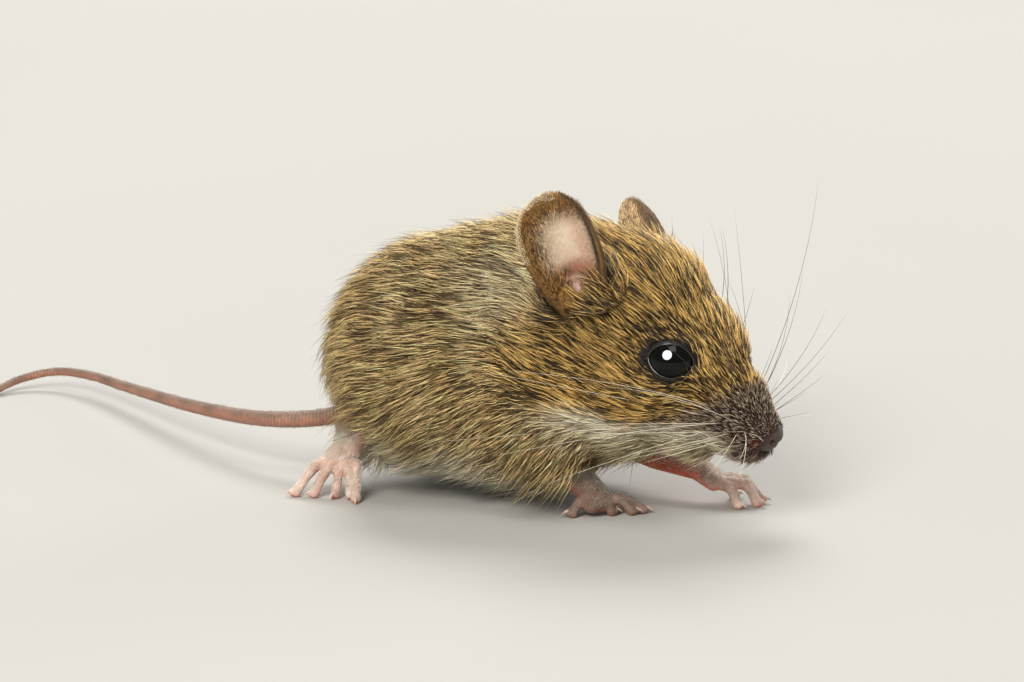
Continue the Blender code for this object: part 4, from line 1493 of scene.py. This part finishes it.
def makeWhiskers(tree):
    random = np.random.default_rng(whiskers["seed"])
    spines, tones = [], []
    shares = np.linspace(0, 1, whiskers["rings"])[:, None]
    for sign in (-1, 1):
        for x, z, way, length, isDark in planWhiskers():
            start = atHead(x + random.normal() * 0.15, 9 * sign, z + random.normal() * 0.15)
            hit = tree.ray_cast(start, headAxes @ Vector((0, -sign, 0)))[0]
            if hit is None:
                continue
            way = Vector((way.x, -way.y * sign, way.z)) + Vector(random.normal(size=3) * 0.10)
            way = np.array((headAxes @ way).normalized())
            length = length * random.uniform(0.8, 1.1)
            droop = np.array(headAxes @ Vector((-whiskers["back"], 0, -whiskers["down"][isDark])))
            droop = droop + random.normal(size=3) * 0.12
            line = np.array(hit) - way * 0.2 * mm + (way * shares + droop * shares ** 2 * 0.45) * length * mm
            line[:, 2] = np.maximum(line[:, 2], 0.0002 + 0.0002 * shares[:, 0])
            spines.append(line)
            tones.append(np.array(whiskers["tone"][isDark]) * (0.85 + 0.4 * shares))
    spines = np.array(spines)
    taper = whiskers["radius"] * (1 - 0.85 * shares[1:-1, 0])
    upright = np.tile(np.array((0.0, 0.0, 1.0)), (len(spines), 1))
    radii = np.tile(taper, (len(spines), 1))
    obj = strandObject("whiskers", spines, radii, upright, np.array(tones), sides=5)
    obj.data.materials.append(makeHairMaterial("whisker", 0.35))
    return finishPiece(obj, "coat_muzzle")


# the studio
studio = {
    "lens": 250.0, "distance": 640.0, "azimuth": 20.0, "elevation": 14.0,
    "aim": (2.88, 13.59),                 # right and up of the body's origin, in the picture's plane
    "floorRadius": 0.9,
    "sensor": 36.0,
    "lit": (0.005, 0, 0.012),             # what the lamps look at, over the body's origin
    "sky": ((0.92, 0.94, 0.97), 0.28),    # colour and strength
}


def lookFrom(azimuth, elevation):         # right, up, and towards the camera
    a, e = math.radians(azimuth), math.radians(elevation)
    right = Vector((math.cos(a), math.sin(a), 0))
    towards = Vector((math.sin(a) * math.cos(e), -math.cos(a) * math.cos(e), math.sin(e)))
    return right, towards.cross(right), towards


def makeStudio():
    right, up, towards = lookFrom(studio["azimuth"], studio["elevation"])
    camera = bpy.data.cameras.new("camera")
    camera.lens = studio["lens"]
    camera.sensor_width = studio["sensor"]
    camera.clip_start = 0.01
    holder = newObject("camera", camera)
    aim = bodyOrigin + (right * studio["aim"][0] + up * studio["aim"][1]) * mm
    holder.location = aim + towards * studio["distance"] * mm
    holder.rotation_euler = Matrix((right, up, towards)).transposed().to_euler()
    bpy.context.scene.camera = holder

    bm = bmesh.new()
    bmesh.ops.create_circle(bm, cap_ends=True, segments=96, radius=studio["floorRadius"])
    floor = objectFrom(bm, "floor")
    floor.data.materials.append(cloudFinish("floor", 9.0, 3.0, (0.43, 0.42, 0.395), (0.47, 0.46, 0.43),
                                            Roughness=0.9, Specular_IOR_Level=0.1))

    world = bpy.data.worlds.new("studio")
    bpy.context.scene.world = world
    world.use_nodes = True
    background = world.node_tree.nodes["Background"]
    sky, strength = studio["sky"]
    background.inputs["Color"].default_value = (*sky, 1)
    background.inputs["Strength"].default_value = strength
    eyeballs = bpy.data.collections.new("eyeballs")
    for side in eyes["sides"]:
        eyeballs.objects.link(bpy.data.objects["eyeball_" + side])
    # way from the animal, distance, size, power and colour
    lamps = {
        "key": (right * -0.33 + up * 0.42 + towards * 0.85, 1.0, 0.42, 9.0, (1.0, 0.97, 0.91)),
        "front": (right * 0.10 + up * 0.78 + towards * 0.55, 1.0, 0.5, 3.2, (1.0, 0.98, 0.94)),
        "top": (up * 0.90 - towards * 0.43 - right * 0.10, 0.9, 0.5, 7.5, (1.0, 0.98, 0.95)),
        "rim": (right * 0.75 - towards * 0.55 + up * 0.45, 0.9, 0.4, 2.5, (0.96, 0.98, 1.0)),
        "catch": (right * -0.33 + up * 0.40 + towards * 0.85, 0.5, 0.42, 30.0, (1.0, 1.0, 1.0)),
    }
    for name, (way, far, size, power, tint) in lamps.items():
        lamp = bpy.data.lights.new(name, "AREA")
        lamp.size = size
        lamp.energy = power
        lamp.color = tint
        lampHolder = newObject(name, lamp)
        lampHolder.location = bodyOrigin + Vector(studio["lit"]) + way.normalized() * far
        lampHolder.rotation_euler = way.to_track_quat("Z", "Y").to_euler()
        if name == "catch":               # it shows in the eyes only, and lights nothing else
            lamp.shape = "DISK"
            lampHolder.visible_diffuse = False
            lampHolder.light_linking.receiver_collection = eyeballs
    bpy.context.scene.view_settings.view_transform = "Standard"


skinObject = makeSkin()
report(f"skin, {len(skinObject.data.polygons)} faces")
finishSkin(skinObject)
report("skin coloured")
growCoat(skinObject.data)
report("coat")
for eyeSide in eyes["sides"]:
    makeEye(eyeSide)
    makeLidEdge(eyeSide)
clawMaterial = makeClawMaterial()
for legName, legPlan in legs.items():
    makeClaws(legName, legPlan, clawMaterial)
makeWhiskers(BVHTree.FromObject(skinObject, bpy.context.evaluated_depsgraph_get()))
makeStudio()
report("whiskers, claws, eyes and studio")
